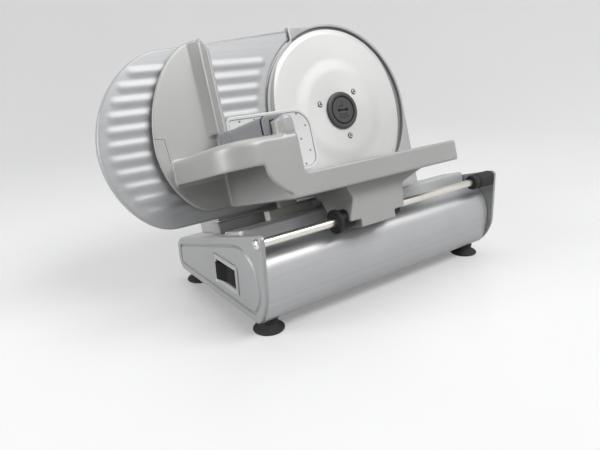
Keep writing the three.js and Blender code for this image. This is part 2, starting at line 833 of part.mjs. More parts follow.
/** Housing: guard edge, dish behind the blade, motor case, hub sleeve and the worm's bearing. */
function buildHousing() {
  const dishBack = dishSetback + wall;
  const front = facing(guardOutline(bladeRadius + guardGap / 2), dishBack, dishBack + guardLip, 24);
  const well = rod('y', bladeRadius + guardGap, dishSetback + guardLip + overrun,
    [bladeX, -guardLip - overrun, 0], 72);
  const room = housingDepth - dishBack;
  const shellCase = cut(facing(caseOutline(0), housingDepth, housingDepth - dishSetback),
    facing(caseOutline(wall), housingDepth + overrun, room + overrun));
  const sleeveRadius = hubShaftRadius + sleeveWall;
  const sleeve = rod('y', sleeveRadius, sleeveLength, [bladeX, dishSetback, 0], 32);
  const bore = rod('y', hubShaftRadius + gap, sleeveLength + 2 * overrun, [bladeX, -overrun, 0], 32);
  const bearingHalf = motorShaftRadius + bearingMargin;
  const [wormY, wormZ] = wormAxis;
  const bearingBlock = block(bearingLeft, bearingLeft + bearingWidth, dishSetback + wall / 2,
    wormY + bearingHalf, wormZ - bearingHalf, wormZ + bearingHalf);
  const shaftRoom = rod('x', motorShaftRadius + gap, bearingWidth + 2 * overrun,
    [bearingLeft - overrun, wormY, wormZ]);
  const bearing = cut(bearingBlock, shaftRoom);
  const housing = cut(join(cut(front, well), shellCase, sleeve, bearing), bore);
  place('blade_housing', housing, 'castAluminium');
}

/** Rear cover with its cooling slots. */
function buildRearCover() {
  const back = housingDepth + gap + wall;
  const cover = facing(caseOutline(0), back, wall);
  const slots = Array.from({ length: ventCount }, (_, i) => {
    const middle = wormAxis[1] + (i - (ventCount - 1) / 2) * ventPitch;
    const left = (motorStart + motorEnd - ventLength) / 2;
    return block(left, left + ventLength, housingDepth - overrun, back + overrun,
      middle - ventWidth / 2, middle + ventWidth / 2);
  });
  place('rear_cover', cut(cover, ...slots), 'greyPlastic');
}

/** Worm wheel on the hub's shaft, with a gap between two teeth straight below. */
function buildWormWheel() {
  const tip = wormDrop - wormCore - meshClearance;
  const root = wormDrop - wormCore - threadRadius - meshClearance;
  const step = 2 * Math.PI / wheelTeeth;
  const corner = (radius, angle) => [bladeX + radius * Math.cos(angle), radius * Math.sin(angle)];
  const teeth = Array.from({ length: wheelTeeth }, (_, i) => {
    const middle = (i + 1 / 2) * step - Math.PI / 2;
    return [
      corner(root, middle - toothRootShare * step / 2), corner(tip, middle - toothTipShare * step / 2),
      corner(tip, middle + toothTipShare * step / 2), corner(root, middle + toothRootShare * step / 2)];
  }).flat();
  const back = wheelSetback + wheelWidth / 2;
  const bore = rod('y', hubShaftRadius + gap, wheelWidth + 2 * overrun,
    [bladeX, wheelSetback - wheelWidth / 2 - overrun, 0], 32);
  const hubRadius = hubShaftRadius + sleeveWall;
  const recess = turnedRing([[hubRadius, 0], [root - wheelRim, 0], [root - wheelRim, overrun + wheelWidth],
    [hubRadius, overrun + wheelWidth]], 24);
  const recessDepth = (wheelWidth - wheelWeb) / 2;
  const frontStart = back - 2 * wheelWidth + recessDepth - overrun;
  const front = solid(recess.clone().translate(bladeX, frontStart, 0));
  const rear = solid(recess.translate(bladeX, back - recessDepth, 0));
  place('worm_wheel', cut(facing(outline(teeth), back, wheelWidth), bore, front, rear), 'nylon');
}

/** Motor can on its side in the case, open at the worm's end for the shaft. */
function buildMotor() {
  const [y, z] = wormAxis;
  const length = motorEnd - motorStart;
  const bore = motorShaftRadius + gap;
  const room = motorRadius - wall;
  const profile = [[bore, 0], [motorRadius, 0], [motorRadius, length],
    [room, length], [room, wall], [bore, wall]];
  const can = turnedRing(profile, 28).rotateZ(-Math.PI / 2).translate(motorStart, y, z);
  place('motor_can', solid(can), 'brushedSteel');
  const capProfile = [[bore, -wall], [room - gap, -wall], [room - gap, 0],
    [motorRadius, 0], [motorRadius, wall], [bore, wall]];
  const cap = turnedRing(capProfile, 28).rotateZ(-Math.PI / 2).translate(motorEnd + gap, y, z);
  place('motor_cap', solid(cap), 'blackPlastic');
}

/** Motor shaft with the armature and the worm's two threads. */
function buildWorm() {
  const [y, z] = wormAxis;
  const shaftEnd = motorEnd + wall;
  const shaft = rod('x', motorShaftRadius, shaftEnd - bearingLeft, [bearingLeft, y, z]);
  const core = rod('x', wormCore, wormLength, [bladeX - wormLength / 2, y, z]);
  const armatureStart = motorStart + 2 * wall;
  const armature = rod('x', armatureRadius, motorEnd - 2 * wall - armatureStart, [armatureStart, y, z], 24);
  const lead = wormStarts * Math.PI * toothModule;
  const turn = -2 * Math.PI * wormLength / lead;
  const threadLength = wormLength - 2 * threadRadius;
  const threads = Array.from({ length: wormStarts }, (_, i) => {
    const phase = 2 * Math.PI * i / wormStarts - Math.PI / 2;
    const threadTurn = turn * threadLength / wormLength;
    const helix = new Helix(wormCore, phase - threadTurn / 2, threadTurn, -threadLength / 2, threadLength);
    return solid(bar(helix, threadRadius, 30, 3).rotateZ(-Math.PI / 2).translate(bladeX, y, z));
  });
  place('motor_worm', join(shaft, core, armature, ...threads), 'polishedSteel');
}

// Thickness plate and its adjustment

/** The thickness plate's front view, drawn inwards by an inset. */
function plateOutline(inset) {
  const right = plateRight - inset;
  const bottom = -plateBottom + inset;
  const left = -plateReach + inset;
  const radius = bladeRadius + plateEdgeGap + inset;
  const upperX = -plateReach + plateUpperRun;
  const top = plateTop - inset;
  const shape = new THREE.Shape();
  shape.moveTo(right, plateTop + plateRise - inset);
  const from = Math.PI - Math.acos((bladeX - right) / radius);
  const to = Math.PI + Math.asin(-bottom / radius);
  shape.lineTo(right, radius * Math.sin(from));
  shape.absarc(bladeX, 0, radius, from, to, false);
  shape.lineTo(-plateReach + plateLowerRun, bottom);
  swing(shape, [left, bottom], [left, -plateWidest]);
  swing(shape, [left, top], [upperX, top]);
  shape.closePath();
  return shape;
}

/** Left edge of the thickness plate at a height, read from its outline. */
function plateLeftAt(z) {
  const points = plateOutline(0).getPoints(24);
  const crossings = points.map((point, i) => [point, points[(i + 1) % points.length]])
    .filter(([a, b]) => (a.y - z) * (b.y - z) <= 0 && a.y !== b.y)
    .map(([a, b]) => a.x + (b.x - a.x) * (z - a.y) / (b.y - a.y));
  return Math.min(...crossings);
}

/** Ribbed thickness plate with its edge turned back. */
function buildThicknessPlate() {
  const back = plateSetback + plateFlange;
  const tray = cut(facing(plateOutline(0), back, plateFlange, 16),
    facing(plateOutline(plateSheet), back + overrun, plateFlange - plateSheet + overrun, 16));
  const centreY = plateSetback + ribRadius - ribHeight;
  const ribs = Array.from({ length: ribCount }, (_, i) => {
    const z = ribTop - i * ribPitch;
    const edge = bladeRadius + plateEdgeGap + ribRightMargin;
    const left = plateLeftAt(z) + ribLeftMargin + ribRadius;
    const right = bladeX - Math.sqrt(edge ** 2 - z ** 2) - ribRadius;
    const rib = new THREE.CapsuleGeometry(ribRadius, right - left, 2, 8);
    return solid(rib.rotateZ(Math.PI / 2).translate((left + right) / 2, centreY, z));
  });
  place('thickness_plate', join(tray, ...ribs), 'castAluminium');
}

/** Slide bar behind the plate, with its pad and the pin that the cam drives. */
function buildCarrier() {
  const padFront = plateSetback + ribRadius - ribHeight + ribRadius + gap;
  const padBack = padFront + carrierPadDepth;
  const end = slideBack - wall - travel - gap;
  const pad = block(carrierX - carrierPad / 2, carrierX + carrierPad / 2, padFront, padBack,
    -carrierDrop - carrierPad / 2, -carrierDrop + carrierPad / 2);
  const beam = block(carrierX - carrierWidth / 2, carrierX + carrierWidth / 2, padBack - wall, end,
    -carrierDrop - carrierHeight / 2, -carrierDrop + carrierHeight / 2);
  const pinStart = drumX + drumRadius - pinDepth;
  const pin = rod('x', pinRadius, carrierX - pinStart, [pinStart, pinRest(), -carrierDrop], 16);
  place('thickness_carrier', join(pad, beam, pin), 'castAluminium');
}

/** Depth at which the cam's pin stands while the plate is flush. */
function pinRest() {
  return (drumFront + drumBack - travel) / 2;
}

/** Box on the deck in which the bar slides and the cam turns. */
function buildSlideHousing() {
  const depth = slideBack - slideFront;
  const section = (inset, fillet) => outline([
    [slideLeft + inset, standTop - inset], [slideRight - inset, standTop - inset],
    [slideRight - inset, -slideTop - inset, fillet], [slideLeft + inset, -slideTop - inset, fillet]]);
  const box = facing(section(0, slideCornerRadius), slideBack, depth);
  const room = facing(section(wall, slideCornerRadius - wall), slideBack - wall, depth - 2 * wall);
  const reach = slideBack - slideFront + 2 * overrun;
  const beamRoom = block(carrierX - carrierWidth / 2 - gap, carrierX + carrierWidth / 2 + gap,
    slideFront - overrun, slideFront + depth / 2, -carrierDrop - carrierHeight / 2 - gap,
    -carrierDrop + carrierHeight / 2 + gap);
  const shaftRoom = rod('y', drumShaftRadius + gap, reach, [drumX, slideFront - overrun, -carrierDrop]);
  place('slide_housing', cut(box, room, beamRoom, shaftRoom), 'castAluminium');
}

/** Barrel cam: a helical groove moves the pin by the plate's travel over the knob's turn. */
function buildCam() {
  const share = grooveEnd / knobTurn;
  const turn = -knobTurn * (1 + 2 * share);
  const helix = new Helix(drumRadius - grooveDepth + grooveRadius, grooveEnd, turn,
    pinRest() - travel * share, travel * (1 + 2 * share));
  const groove = solid(bar(helix, grooveRadius, 28, 5).translate(drumX, 0, -carrierDrop));
  const drum = rod('y', drumRadius, drumBack - drumFront, [drumX, drumFront, -carrierDrop], 32);
  const shaftFront = slideFront + gap;
  const shaftEnd = slideBack + gap + knobBoreDepth - gap;
  const shaft = rod('y', drumShaftRadius, shaftEnd - shaftFront, [drumX, shaftFront, -carrierDrop]);
  place('cam_drum', cut(join(drum, shaft), groove), 'nylon');
}

/** Knob behind the slide housing, with scalloped grips. */
function buildKnob() {
  const front = slideBack + gap;
  const back = front + knobLength;
  const edge = knobGripRadius;
  const profile = [[drumShaftRadius + gap, front], [knobRadius, front], [knobRadius, back - edge],
    [knobRadius - edge, back], [0, back], [0, front + knobBoreDepth],
    [drumShaftRadius + gap, front + knobBoreDepth]];
  const knob = solid(turnedRing(profile).translate(drumX, 0, -carrierDrop));
  const grips = Array.from({ length: knobGrips }, (_, i) => {
    const angle = 2 * Math.PI * i / knobGrips;
    const x = drumX + knobRadius * Math.cos(angle);
    const z = -carrierDrop + knobRadius * Math.sin(angle);
    return rod('y', knobGripRadius, knobLength, [x, front + wall, z], 6);
  });
  place('thickness_knob', cut(knob, ...grips), 'blackPlastic');
}

// Carriage

/** The upright food rest's front view. */
function dPlateOutline() {
  const left = -dPlateReach;
  const right = finX + carriageSheet;
  const shape = new THREE.Shape();
  shape.moveTo(right, -dPlateBottom);
  shape.lineTo(left + dLowerRun, -dPlateBottom);
  swing(shape, [left, -dPlateBottom], [left, -dPlateWidest]);
  swing(shape, [left, dPlateTop], [left + dUpperRun, dPlateTop]);
  shape.lineTo(right, dPlateTop);
  shape.closePath();
  return shape;
}

/** Plan of the shelf, drawn inwards by an inset. */
function shelfPlan(inset, back) {
  return outline([[-shelfReach + inset, back],
    [-shelfReach + inset, -trayFront + inset, shelfCorner - inset],
    [shelfRight - inset, -trayFront + inset], [shelfRight - inset, back]]);
}

/** Plan of the tray, drawn inwards by an inset. */
function trayPlan(inset) {
  return outline([[finX + inset, -trayBack - inset], [finX + inset, -trayFront + inset],
    [trayRight - inset, -trayFront + inset, trayCorner],
    [trayRight - inset, -trayBack - inset, trayCorner]]);
}

/** Front wall: the sweep from the shelf down to the tray's apron. */
function apronOutline() {
  const shape = new THREE.Shape();
  shape.moveTo(apronLeft, -shelfDrop);
  shape.lineTo(apronLeft, -shelfDrop - shelfSkirt);
  swing(shape, [apronLeft, -trayBottom], [apronLeft + apronRun, -trayBottom]);
  shape.lineTo(trayRight - trayCorner, -trayBottom);
  shape.lineTo(trayRight - trayCorner, -trayDrop);
  shape.lineTo(shelfRight + trayEdgeRadius, -trayDrop);
  swing(shape, [shelfRight, -trayDrop], [shelfRight, -trayDrop + trayEdgeRadius]);
  shape.lineTo(shelfRight, -shelfDrop);
  shape.closePath();
  return shape;
}

/** The cast carriage: food rest, fin, shelf, tray, rail, front wall and horn. */
function buildCarriage() {
  const t = carriageSheet;
  const restFace = -dPlateForward - t;
  const rest = facing(dPlateOutline(), -dPlateForward, t, 16);
  const finTop = dPlateTop - finTopRun;
  const web = along(outline([[-dPlateForward, -trayBottom], [-dPlateForward, dPlateTop],
    [finTopRun - finForward, dPlateTop, chamferDepth], [-finForward, finTop, finTopRun / 2],
    [-finForward, -railTop], [-trayFront + t, -railTop], [-trayFront + t, -trayBottom]]), finX, t);
  const chamfer = raised(outline([[finX - chamferRun, restFace + t / 2], [finX - chamferRun, restFace],
    [finX, restFace - chamferDepth], [finX + t / 2, restFace - chamferDepth],
    [finX + t / 2, restFace + t / 2]]),
  -chamferBottom, dPlateTop - t + chamferBottom);
  const shelf = cut(raised(shelfPlan(0, -dPlateForward), -shelfDrop - shelfSkirt, shelfSkirt, 12),
    raised(shelfPlan(t, restFace), -shelfDrop - shelfSkirt - overrun, shelfSkirt - t + overrun, 12));
  const side = block(shelfRight - t, shelfRight, -trayFront, -dPlateForward,
    -trayDrop - t / 2, -shelfDrop);
  const trayHeight = trayBottom - trayDrop;
  const tray = cut(raised(trayPlan(0), -trayBottom, trayHeight),
    raised(trayPlan(t), -trayBottom - overrun, trayHeight - t + overrun));
  const apron = facing(apronOutline(), -trayFront + t, t, 12);
  const hornShape = outline([[hornLeft, -shelfDrop - t / 2], [hornRight, -shelfDrop - t / 2],
    [hornRight, -hornTop, hornRadius], [hornLeft, -hornTop, hornRadius]]);
  const horn = facing(hornShape, -trayFront + hornDepth, hornDepth);
  place('carriage_body', join(rest, web, chamfer, shelf, side, tray, apron, horn), 'castAluminium');
}

/** Bracket under the tray that carries the two bushes on the guide rod. */
function buildBracket() {
  const width = bracketRight - bracketLeft;
  const height = bracketBottom - trayBottom;
  const [neckX, neckZ] = bracketNeckShares;
  const [shoulderX, shoulderZ] = bracketShoulderShares;
  const top = -trayDrop - carriageSheet - gap;
  const shoulder = bracketTopLeft + shoulderX * (bracketTopRight - bracketTopLeft)
    + (1 - shoulderX) * neckX * width;
  const shape = outline([[bracketTopLeft, top], [bracketTopRight, top], [bracketTopRight, -trayBottom],
    [shoulder, -bracketBottom + shoulderZ * height],
    [bracketRight, -bracketBottom + notchHeight, bracketRadius],
    [bracketRight, -bracketBottom], [bracketLeft, -bracketBottom],
    [bracketLeft, -bracketBottom + notchHeight, bracketRadius],
    [bracketLeft + neckX * width, -bracketBottom + neckZ * height], [bracketTopLeft, -trayBottom]]);
  const body = facing(shape, -bracketBack, bracketFront - bracketBack);
  const bore = rod('x', bushRadius + gap, width + 2 * overrun,
    [bracketLeft - overrun, -rodDistance, -rodDepth]);
  const notches = [bracketLeft - overrun, bracketRight - notchWidth].map((x) =>
    block(x, x + notchWidth + overrun, -bracketFront - overrun, -rodDistance,
      -bracketBottom - overrun, -bracketBottom + notchHeight));
  const bracket = join(body, bracketWebs(shape, top));
  place('carriage_bracket', cut(bracket, bore, ...notches), 'castAluminium');
}

/** Side webs that brace the bracket's block from behind and taper down towards the rod. */
function bracketWebs(shape, top) {
  const back = -bracketBack + bracketWebReach;
  const deep = facing(shape, back, bracketWebReach + carriageSheet);
  const room = deep.translate([carriageSheet, 0, 0]).intersect(deep.translate([-carriageSheet, 0, 0]));
  const front = -bracketBack - carriageSheet;
  const side = along(outline([[front, -bracketBottom + bracketWebFoot], [back, -trayBottom], [back, top],
    [front, top]]), bracketLeft - overrun, bracketTopRight - bracketLeft + 2 * overrun);
  return cut(deep, room).intersect(side);
}

/** Bushes on the guide rod and the soft ring that meets the left stop. */
function buildBushes() {
  const start = bracketLeft - bushOverhang;
  const makeSleeve = (radius, length, x) => cut(
    rod('x', radius, length, [x, -rodDistance, -rodDepth]),
    rod('x', rodRadius + gap, length + 2 * overrun, [x - overrun, -rodDistance, -rodDepth]));
  place('bush_left', makeSleeve(bushRadius, bushLength, start), 'blackPlastic');
  place('bush_right', makeSleeve(bushRadius, bushLength, bracketRight - bushLength), 'blackPlastic');
  place('buffer_ring', makeSleeve(ringRadius, ringWidth - gap, start - ringWidth), 'rubber');
}

/** Shoe under the tray's back that slides along the rear strip. */
function buildShoe() {
  const bottom = standTop + railHeight + shoeClearance;
  const top = -trayDrop - carriageSheet - gap;
  const middle = shoeLeft + shoeLength / 2;
  const foot = block(shoeLeft, shoeLeft + shoeLength, -shoeForward - shoeWidth, -shoeForward,
    bottom, bottom + shoeHeight);
  const neck = block(middle - shoeNeck / 2, middle + shoeNeck / 2, -shoeForward - shoeWidth, -shoeForward,
    bottom, top);
  place('rear_shoe', join(foot, neck), 'nylon');
}

// Food pusher

/** Clear plate with a raised rim and a field of spikes towards the blade. */
function buildPusherPlate() {
  const right = pusherPlateLeft + pusherPlateWidth;
  const low = shelfRight + pusherFit;
  const frame = (inset) => outline([[low + inset, -pusherPlateBottom + inset],
    [right - inset, -pusherPlateBottom + inset, pusherFootCorner - inset],
    [right - inset, pusherPlateTop - inset, pusherCorner - inset],
    [pusherPlateLeft + inset, pusherPlateTop - inset, pusherRadius - inset],
    [pusherPlateLeft + inset, -shelfDrop + pusherFit + inset],
    [low + inset, -shelfDrop + pusherFit + inset]]);
  const back = -pusherPlateForward;
  const plate = cut(facing(frame(0), back, pusherSheet),
    facing(frame(pusherRim), back - pusherSheet + pusherRimHeight, overrun));
  const length = spikeLength + pusherRimHeight;
  const makeRow = (row) => Array.from({ length: spikeColumns }, (_, column) => {
    const shift = row % 2 * spikePitch / 2;
    const spike = new THREE.CylinderGeometry(spikeRadius / 4, spikeRadius, length, 5);
    const x = spikeRight + shift - column * spikePitch;
    return solid(spike.translate(x, back + length / 2 - pusherRimHeight, spikeTop - row * spikeRowPitch));
  });
  const spikes = Array.from({ length: spikeRows }, (_, row) => makeRow(row)).flat();
  place('pusher_plate', join(plate, ...spikes), 'clearPlastic');
}

/** Smoky handle body that straddles the rail and lies on the shelf. */
function buildPusherBody() {
  const front = -pusherPlateForward - pusherSheet - gap;
  const bottom = -shelfDrop + gap;
  const height = shelfDrop - pusherTop - gap;
  const plan = outline([[pusherLeft, front, pusherRadius], [pusherLeft, -pusherEnd, pusherRadius],
    [pusherRight, -pusherEnd, pusherRadius], [pusherRight, front]]);
  const slotLeft = finX - pusherFit;
  const slotRight = finX + carriageSheet + pusherFit;
  const railRoom = block(slotLeft, slotRight, -pusherEnd - overrun, front + overrun,
    bottom - overrun, -railTop + pusherFit);
  const finRoom = block(slotLeft, slotRight, -finForward - pusherTravel - pusherFit, front + overrun,
    bottom - overrun, overrun);
  place('pusher_body', cut(raised(plan, bottom, height), railRoom, finRoom), 'smokyPlastic');
}

buildEndPlate('left_end_plate', 0, -overrun);
buildEndPlate('right_end_plate', baseWidth - endPlate, baseWidth - panelDepth);
buildFrontShell();
buildDeck();
buildCovers();
footPlaces.forEach((spot) => buildFoot(...spot));
buildRod();
buildPlinth();
buildSwitch();
buildBlade();
buildHub();
buildLockNut();
buildHousing();
buildRearCover();
buildWormWheel();
buildMotor();
buildWorm();
buildThicknessPlate();
buildCarrier();
buildSlideHousing();
buildCam();
buildKnob();
buildCarriage();
buildBracket();
buildBushes();
buildShoe();
buildPusherPlate();
buildPusherBody();

// The origin is the middle of the model's box, at the floor
slicer.updateMatrixWorld(true);
const box = new THREE.Box3().setFromObject(slicer, true);
const middle = box.getCenter(new THREE.Vector3());
slicer.position.set(-middle.x, -middle.y, -box.min.z);

export default slicer;
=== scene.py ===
"""Food slicer: the looks of its housings, blade, plate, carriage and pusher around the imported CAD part.

Sizes are in millimetres of one of two spaces: the base's own, or the head's, which leans back with the blade.
Every new piece is a surface worked out with numpy and sits at the origin with its place in its mesh.
"""

import logging
import math
from dataclasses import dataclass, replace
from enum import Enum
from typing import Optional, Sequence

import bmesh
import bpy
import numpy as np
from mathutils import Matrix, Vector
from mathutils.geometry import tessellate_polygon


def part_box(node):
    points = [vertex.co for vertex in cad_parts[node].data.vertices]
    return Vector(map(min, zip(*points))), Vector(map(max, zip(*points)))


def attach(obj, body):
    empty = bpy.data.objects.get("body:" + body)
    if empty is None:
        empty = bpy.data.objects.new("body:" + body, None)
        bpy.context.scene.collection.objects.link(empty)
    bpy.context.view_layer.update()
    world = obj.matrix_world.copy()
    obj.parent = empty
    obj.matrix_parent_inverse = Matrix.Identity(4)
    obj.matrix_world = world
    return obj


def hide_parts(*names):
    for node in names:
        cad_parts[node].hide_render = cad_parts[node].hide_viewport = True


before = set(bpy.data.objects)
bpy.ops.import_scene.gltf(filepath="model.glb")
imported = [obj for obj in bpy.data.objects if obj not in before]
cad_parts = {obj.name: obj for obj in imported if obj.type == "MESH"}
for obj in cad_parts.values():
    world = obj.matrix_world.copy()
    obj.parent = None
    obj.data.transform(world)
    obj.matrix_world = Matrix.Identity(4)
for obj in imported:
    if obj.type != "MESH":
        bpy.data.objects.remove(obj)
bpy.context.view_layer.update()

MM = 0.001
TURN = 2 * math.pi
WELD = 2e-6
SHARP = math.radians(32)
MARKS = "marks"
LOG = logging.getLogger("slicer")


# Spaces, outlines and surfaces


class Facing(Enum):
    """Where an outline's two directions and its depth point in a space: the rows are a, b and depth."""

    FRONT = ((1, 0, 0), (0, 0, 1), (0, 1, 0))
    SIDE = ((0, 1, 0), (0, 0, 1), (1, 0, 0))
    PLAN = ((1, 0, 0), (0, 1, 0), (0, 0, 1))


@dataclass(frozen=True)
class Space:
    """A frame for sizes in millimetres, turned about X and placed in the row frame.

    Args:
        origin: its origin in the row frame, in millimetres.
        lean: how far it leans back, in radians.
    """

    origin: tuple[float, float, float]
    lean: float = 0.0

    @property
    def matrix(self) -> np.ndarray:
        """The turn about X that leans the space back."""
        c, s = math.cos(self.lean), math.sin(self.lean)
        return np.array([[1, 0, 0], [0, c, s], [0, -s, c]])

    def to_row(self, points: np.ndarray) -> np.ndarray:
        """Leans the points, adds the origin and gives metres of the row frame."""
        return (np.asarray(points, float) @ self.matrix.T + np.array(self.origin)) * MM


@dataclass(frozen=True)
class Layout:
    """Sizes that several sub-assemblies share, in millimetres."""

    lean: float = math.radians(16)
    rod_height: float = 95.4
    rod_forward: float = 92.4
    rod_drop: float = 111.5
    deck_drop: float = 103.8
    width: float = 317.0
    plate: float = 4.0
    gap: float = 0.3
    front: float = -7.5
    depth: float = 194.0
    clearance: float = 14.5
    blade_x: float = 193.0
    blade_radius: float = 95.0
    worm_drop: float = 41.35
    fin_x: float = 26.5
    plinth_height: float = 12.0
    rod_radius: float = 4.0

    @property
    def head_y(self) -> float:
        """Depth of the blade's centre behind the guide rod."""
        return self.rod_forward * math.cos(self.lean) + self.rod_drop * math.sin(self.lean)

    @property
    def head_z(self) -> float:
        """Height of the blade's centre above the floor."""
        return self.rod_height + self.rod_drop * math.cos(self.lean) - self.rod_forward * math.sin(self.lean)

    @property
    def stand(self) -> float:
        """Height in the head's space of what stands on the deck."""
        return self.gap - self.deck_drop

    @property
    def rod_place(self) -> tuple[float, float]:
        """The guide rod's depth and height in the head's space."""
        return -self.rod_forward, -self.rod_drop

    @property
    def rod_bore(self) -> float:
        """Bore of what sits on the guide rod."""
        return self.rod_radius + self.gap

    @property
    def inner_left(self) -> float:
        """Left end of the pieces between the end plates."""
        return self.plate + self.gap

    @property
    def inner_right(self) -> float:
        """Right end of the pieces between the end plates."""
        return self.width - self.plate - self.gap

    def plane_height(self, drop: float, y: np.ndarray) -> np.ndarray:
        """Height above the floor at a depth y of the head's plane z = -drop."""
        return self.head_z - (y - self.head_y) * math.tan(self.lean) - drop / math.cos(self.lean)

    def head_point(self, y: float, z: float) -> tuple[float, float]:
        """A point of the head's side view in the base's side view."""
        c, s = math.cos(self.lean), math.sin(self.lean)
        return self.head_y + y * c + z * s, self.head_z - y * s + z * c


LAYOUT = Layout()
PLATE_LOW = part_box("left_end_plate")[0] / MM
BASE = Space((PLATE_LOW.x, PLATE_LOW.y - LAYOUT.front, 0.0))
HEAD = Space((BASE.origin[0], BASE.origin[1] + LAYOUT.head_y, LAYOUT.head_z), LAYOUT.lean)


def present(name: str, data: bpy.types.ID) -> bpy.types.Object:
    """Puts an object with its data into the scene."""
    made = bpy.data.objects.new(name, data)
    bpy.context.scene.collection.objects.link(made)
    return made


def soften(points: np.ndarray, radii: np.ndarray, steps: int, closed: bool = True) -> np.ndarray:
    """Rounds each corner of a path with a circular arc.

    The arc touches both sides at radius / tan(half the corner's angle) from the corner. Its points turn
    evenly about its centre: each is the sine-weighted mean of the arc's two end spokes.

    Args:
        points: corners, (n, 2).
        radii: the arc's radius at each corner, cut down where a side is too short.
        steps: parts of each arc.
        closed: whether the last corner joins the first.

    Returns:
        The rounded path, (n * (steps + 1), 2).
    """
    before = np.roll(points, 1, axis=0) - points
    after = np.roll(points, -1, axis=0) - points
    size_before = np.linalg.norm(before, axis=1)
    size_after = np.linalg.norm(after, axis=1)
    u = before / np.maximum(size_before, 1e-9)[:, None]
    v = after / np.maximum(size_after, 1e-9)[:, None]
    corner = np.arccos(np.clip((u * v).sum(1), -1, 1))
    straight = (corner > math.pi - 1e-3) | (corner < 1e-3)
    half = np.tan(np.where(straight, 1.0, corner) / 2)
    radius = np.minimum(radii, 0.49 * np.minimum(size_before, size_after) * half)
    if not closed:
        radius[[0, -1]] = 0
    radius = np.where(straight, 0, radius)
    reach = radius / half
    start, end = points + u * reach[:, None], points + v * reach[:, None]
    middle = u + v
    middle /= np.maximum(np.linalg.norm(middle, axis=1), 1e-9)[:, None]
    centre = points + middle * (radius / np.sin(np.where(straight, 1.0, corner) / 2))[:, None]
    sweep = np.where(straight, 1.0, math.pi - corner)[:, None, None]
    t = np.linspace(0, 1, steps + 1)[None, :, None]
    first, last = (start - centre)[:, None], (end - centre)[:, None]
    spokes = first * np.sin((1 - t) * sweep) + last * np.sin(t * sweep)
    rounded = centre[:, None] + spokes / np.sin(sweep)
    rounded = np.where((radius > 0)[:, None, None], rounded, points[:, None])
    return rounded.reshape(-1, 2)


def pushed(points: np.ndarray, inset: float) -> np.ndarray:
    """Moves each point of a closed outline inwards, so that both of its sides move by the inset.

    The move is the sum of the two sides' inward normals over one plus their dot product, times the inset.
    """
    following = np.roll(points, -1, axis=0) - points
    area = (points[:, 0] * np.roll(points[:, 1], -1) - np.roll(points[:, 0], -1) * points[:, 1]).sum()
    side = following / np.maximum(np.linalg.norm(following, axis=1), 1e-9)[:, None]
    normal = np.stack([-side[:, 1], side[:, 0]], 1) * np.sign(area)
    earlier = np.roll(normal, 1, axis=0)
    share = np.maximum(1 + (normal * earlier).sum(1), 0.35)[:, None]
    return points + inset * (normal + earlier) / share


@dataclass(frozen=True)
class Outline:
    """A closed free-form outline, (n, 2), that can be drawn inwards."""

    points: np.ndarray

    def at(self, inset: float) -> np.ndarray:
        """The outline drawn inwards by an inset."""
        return pushed(self.points, inset)


@dataclass(frozen=True)
class Corners(Outline):
    """A closed outline of straight sides: points are its corners, with a radius for each.

    Drawn inwards, an outer corner's radius shrinks by the inset and an inner corner's grows.
    """

    radii: np.ndarray
    steps: int = 6

    def at(self, inset: float) -> np.ndarray:
        """The rounded outline drawn inwards by an inset."""
        before = self.points - np.roll(self.points, 1, axis=0)
        after = np.roll(self.points, -1, axis=0) - self.points
        bend = before[:, 0] * after[:, 1] - before[:, 1] * after[:, 0]
        area = (self.points[:, 0] * np.roll(self.points[:, 1], -1)
                - np.roll(self.points[:, 0], -1) * self.points[:, 1]).sum()
        outer = bend * np.sign(area) > 0
        radii = np.maximum(np.where(outer, self.radii - inset, self.radii + inset), 0)
        return soften(pushed(self.points, inset), radii, self.steps)


def corners(spots: Sequence[Sequence[float]], steps: int = 6) -> Corners:
    """An outline from [a, b, radius] corners."""
    table = np.array([(*spot, 0.0)[:3] for spot in spots], float)
    return Corners(table[:, :2], table[:, 2], steps)


def rectangle(low: Sequence[float], high: Sequence[float], radius: float, steps: int = 6) -> Corners:
    """A rectangle with four rounded corners."""
    return corners([[low[0], low[1], radius], [high[0], low[1], radius],
                    [high[0], high[1], radius], [low[0], high[1], radius]], steps)


def circle(centre: Sequence[float], radius: float, steps: int = 48) -> Outline:
    """A round outline."""
    angle = np.linspace(0, TURN, steps, endpoint=False)
    return Outline(np.stack([centre[0] + radius * np.cos(angle), centre[1] + radius * np.sin(angle)], 1))


def arc(centre: Sequence[float], radius: float, start: float, end: float, steps: int) -> np.ndarray:
    """Points round a circle from one angle to another."""
    angle = np.linspace(start, end, steps + 1)
    return np.stack([centre[0] + radius * np.cos(angle), centre[1] + radius * np.sin(angle)], 1)


def swing(start: Sequence[float], corner: Sequence[float], end: Sequence[float],
          share: float = 0.5, steps: int = 14) -> np.ndarray:
    """A cubic curve that leaves the start and meets the end along the lines to the corner.

    Its two handles stand at the share of the way from each end to the corner.
    """
    first, bend, last = (np.array(p, float) for p in (start, corner, end))
    leave, arrive = first + (bend - first) * share, last + (bend - last) * share
    t = np.linspace(0, 1, steps + 1)[:, None]
    return (1 - t) ** 3 * first + 3 * (1 - t) ** 2 * t * leave + 3 * (1 - t) * t ** 2 * arrive + t ** 3 * last


def chain(*parts: np.ndarray) -> np.ndarray:
    """Joins runs of points into one closed outline and drops points that repeat."""
    points = np.concatenate([np.atleast_2d(np.asarray(part, float)) for part in parts])
    step = np.linalg.norm(points - np.roll(points, 1, axis=0), axis=1)
    return points[step > 1e-4]


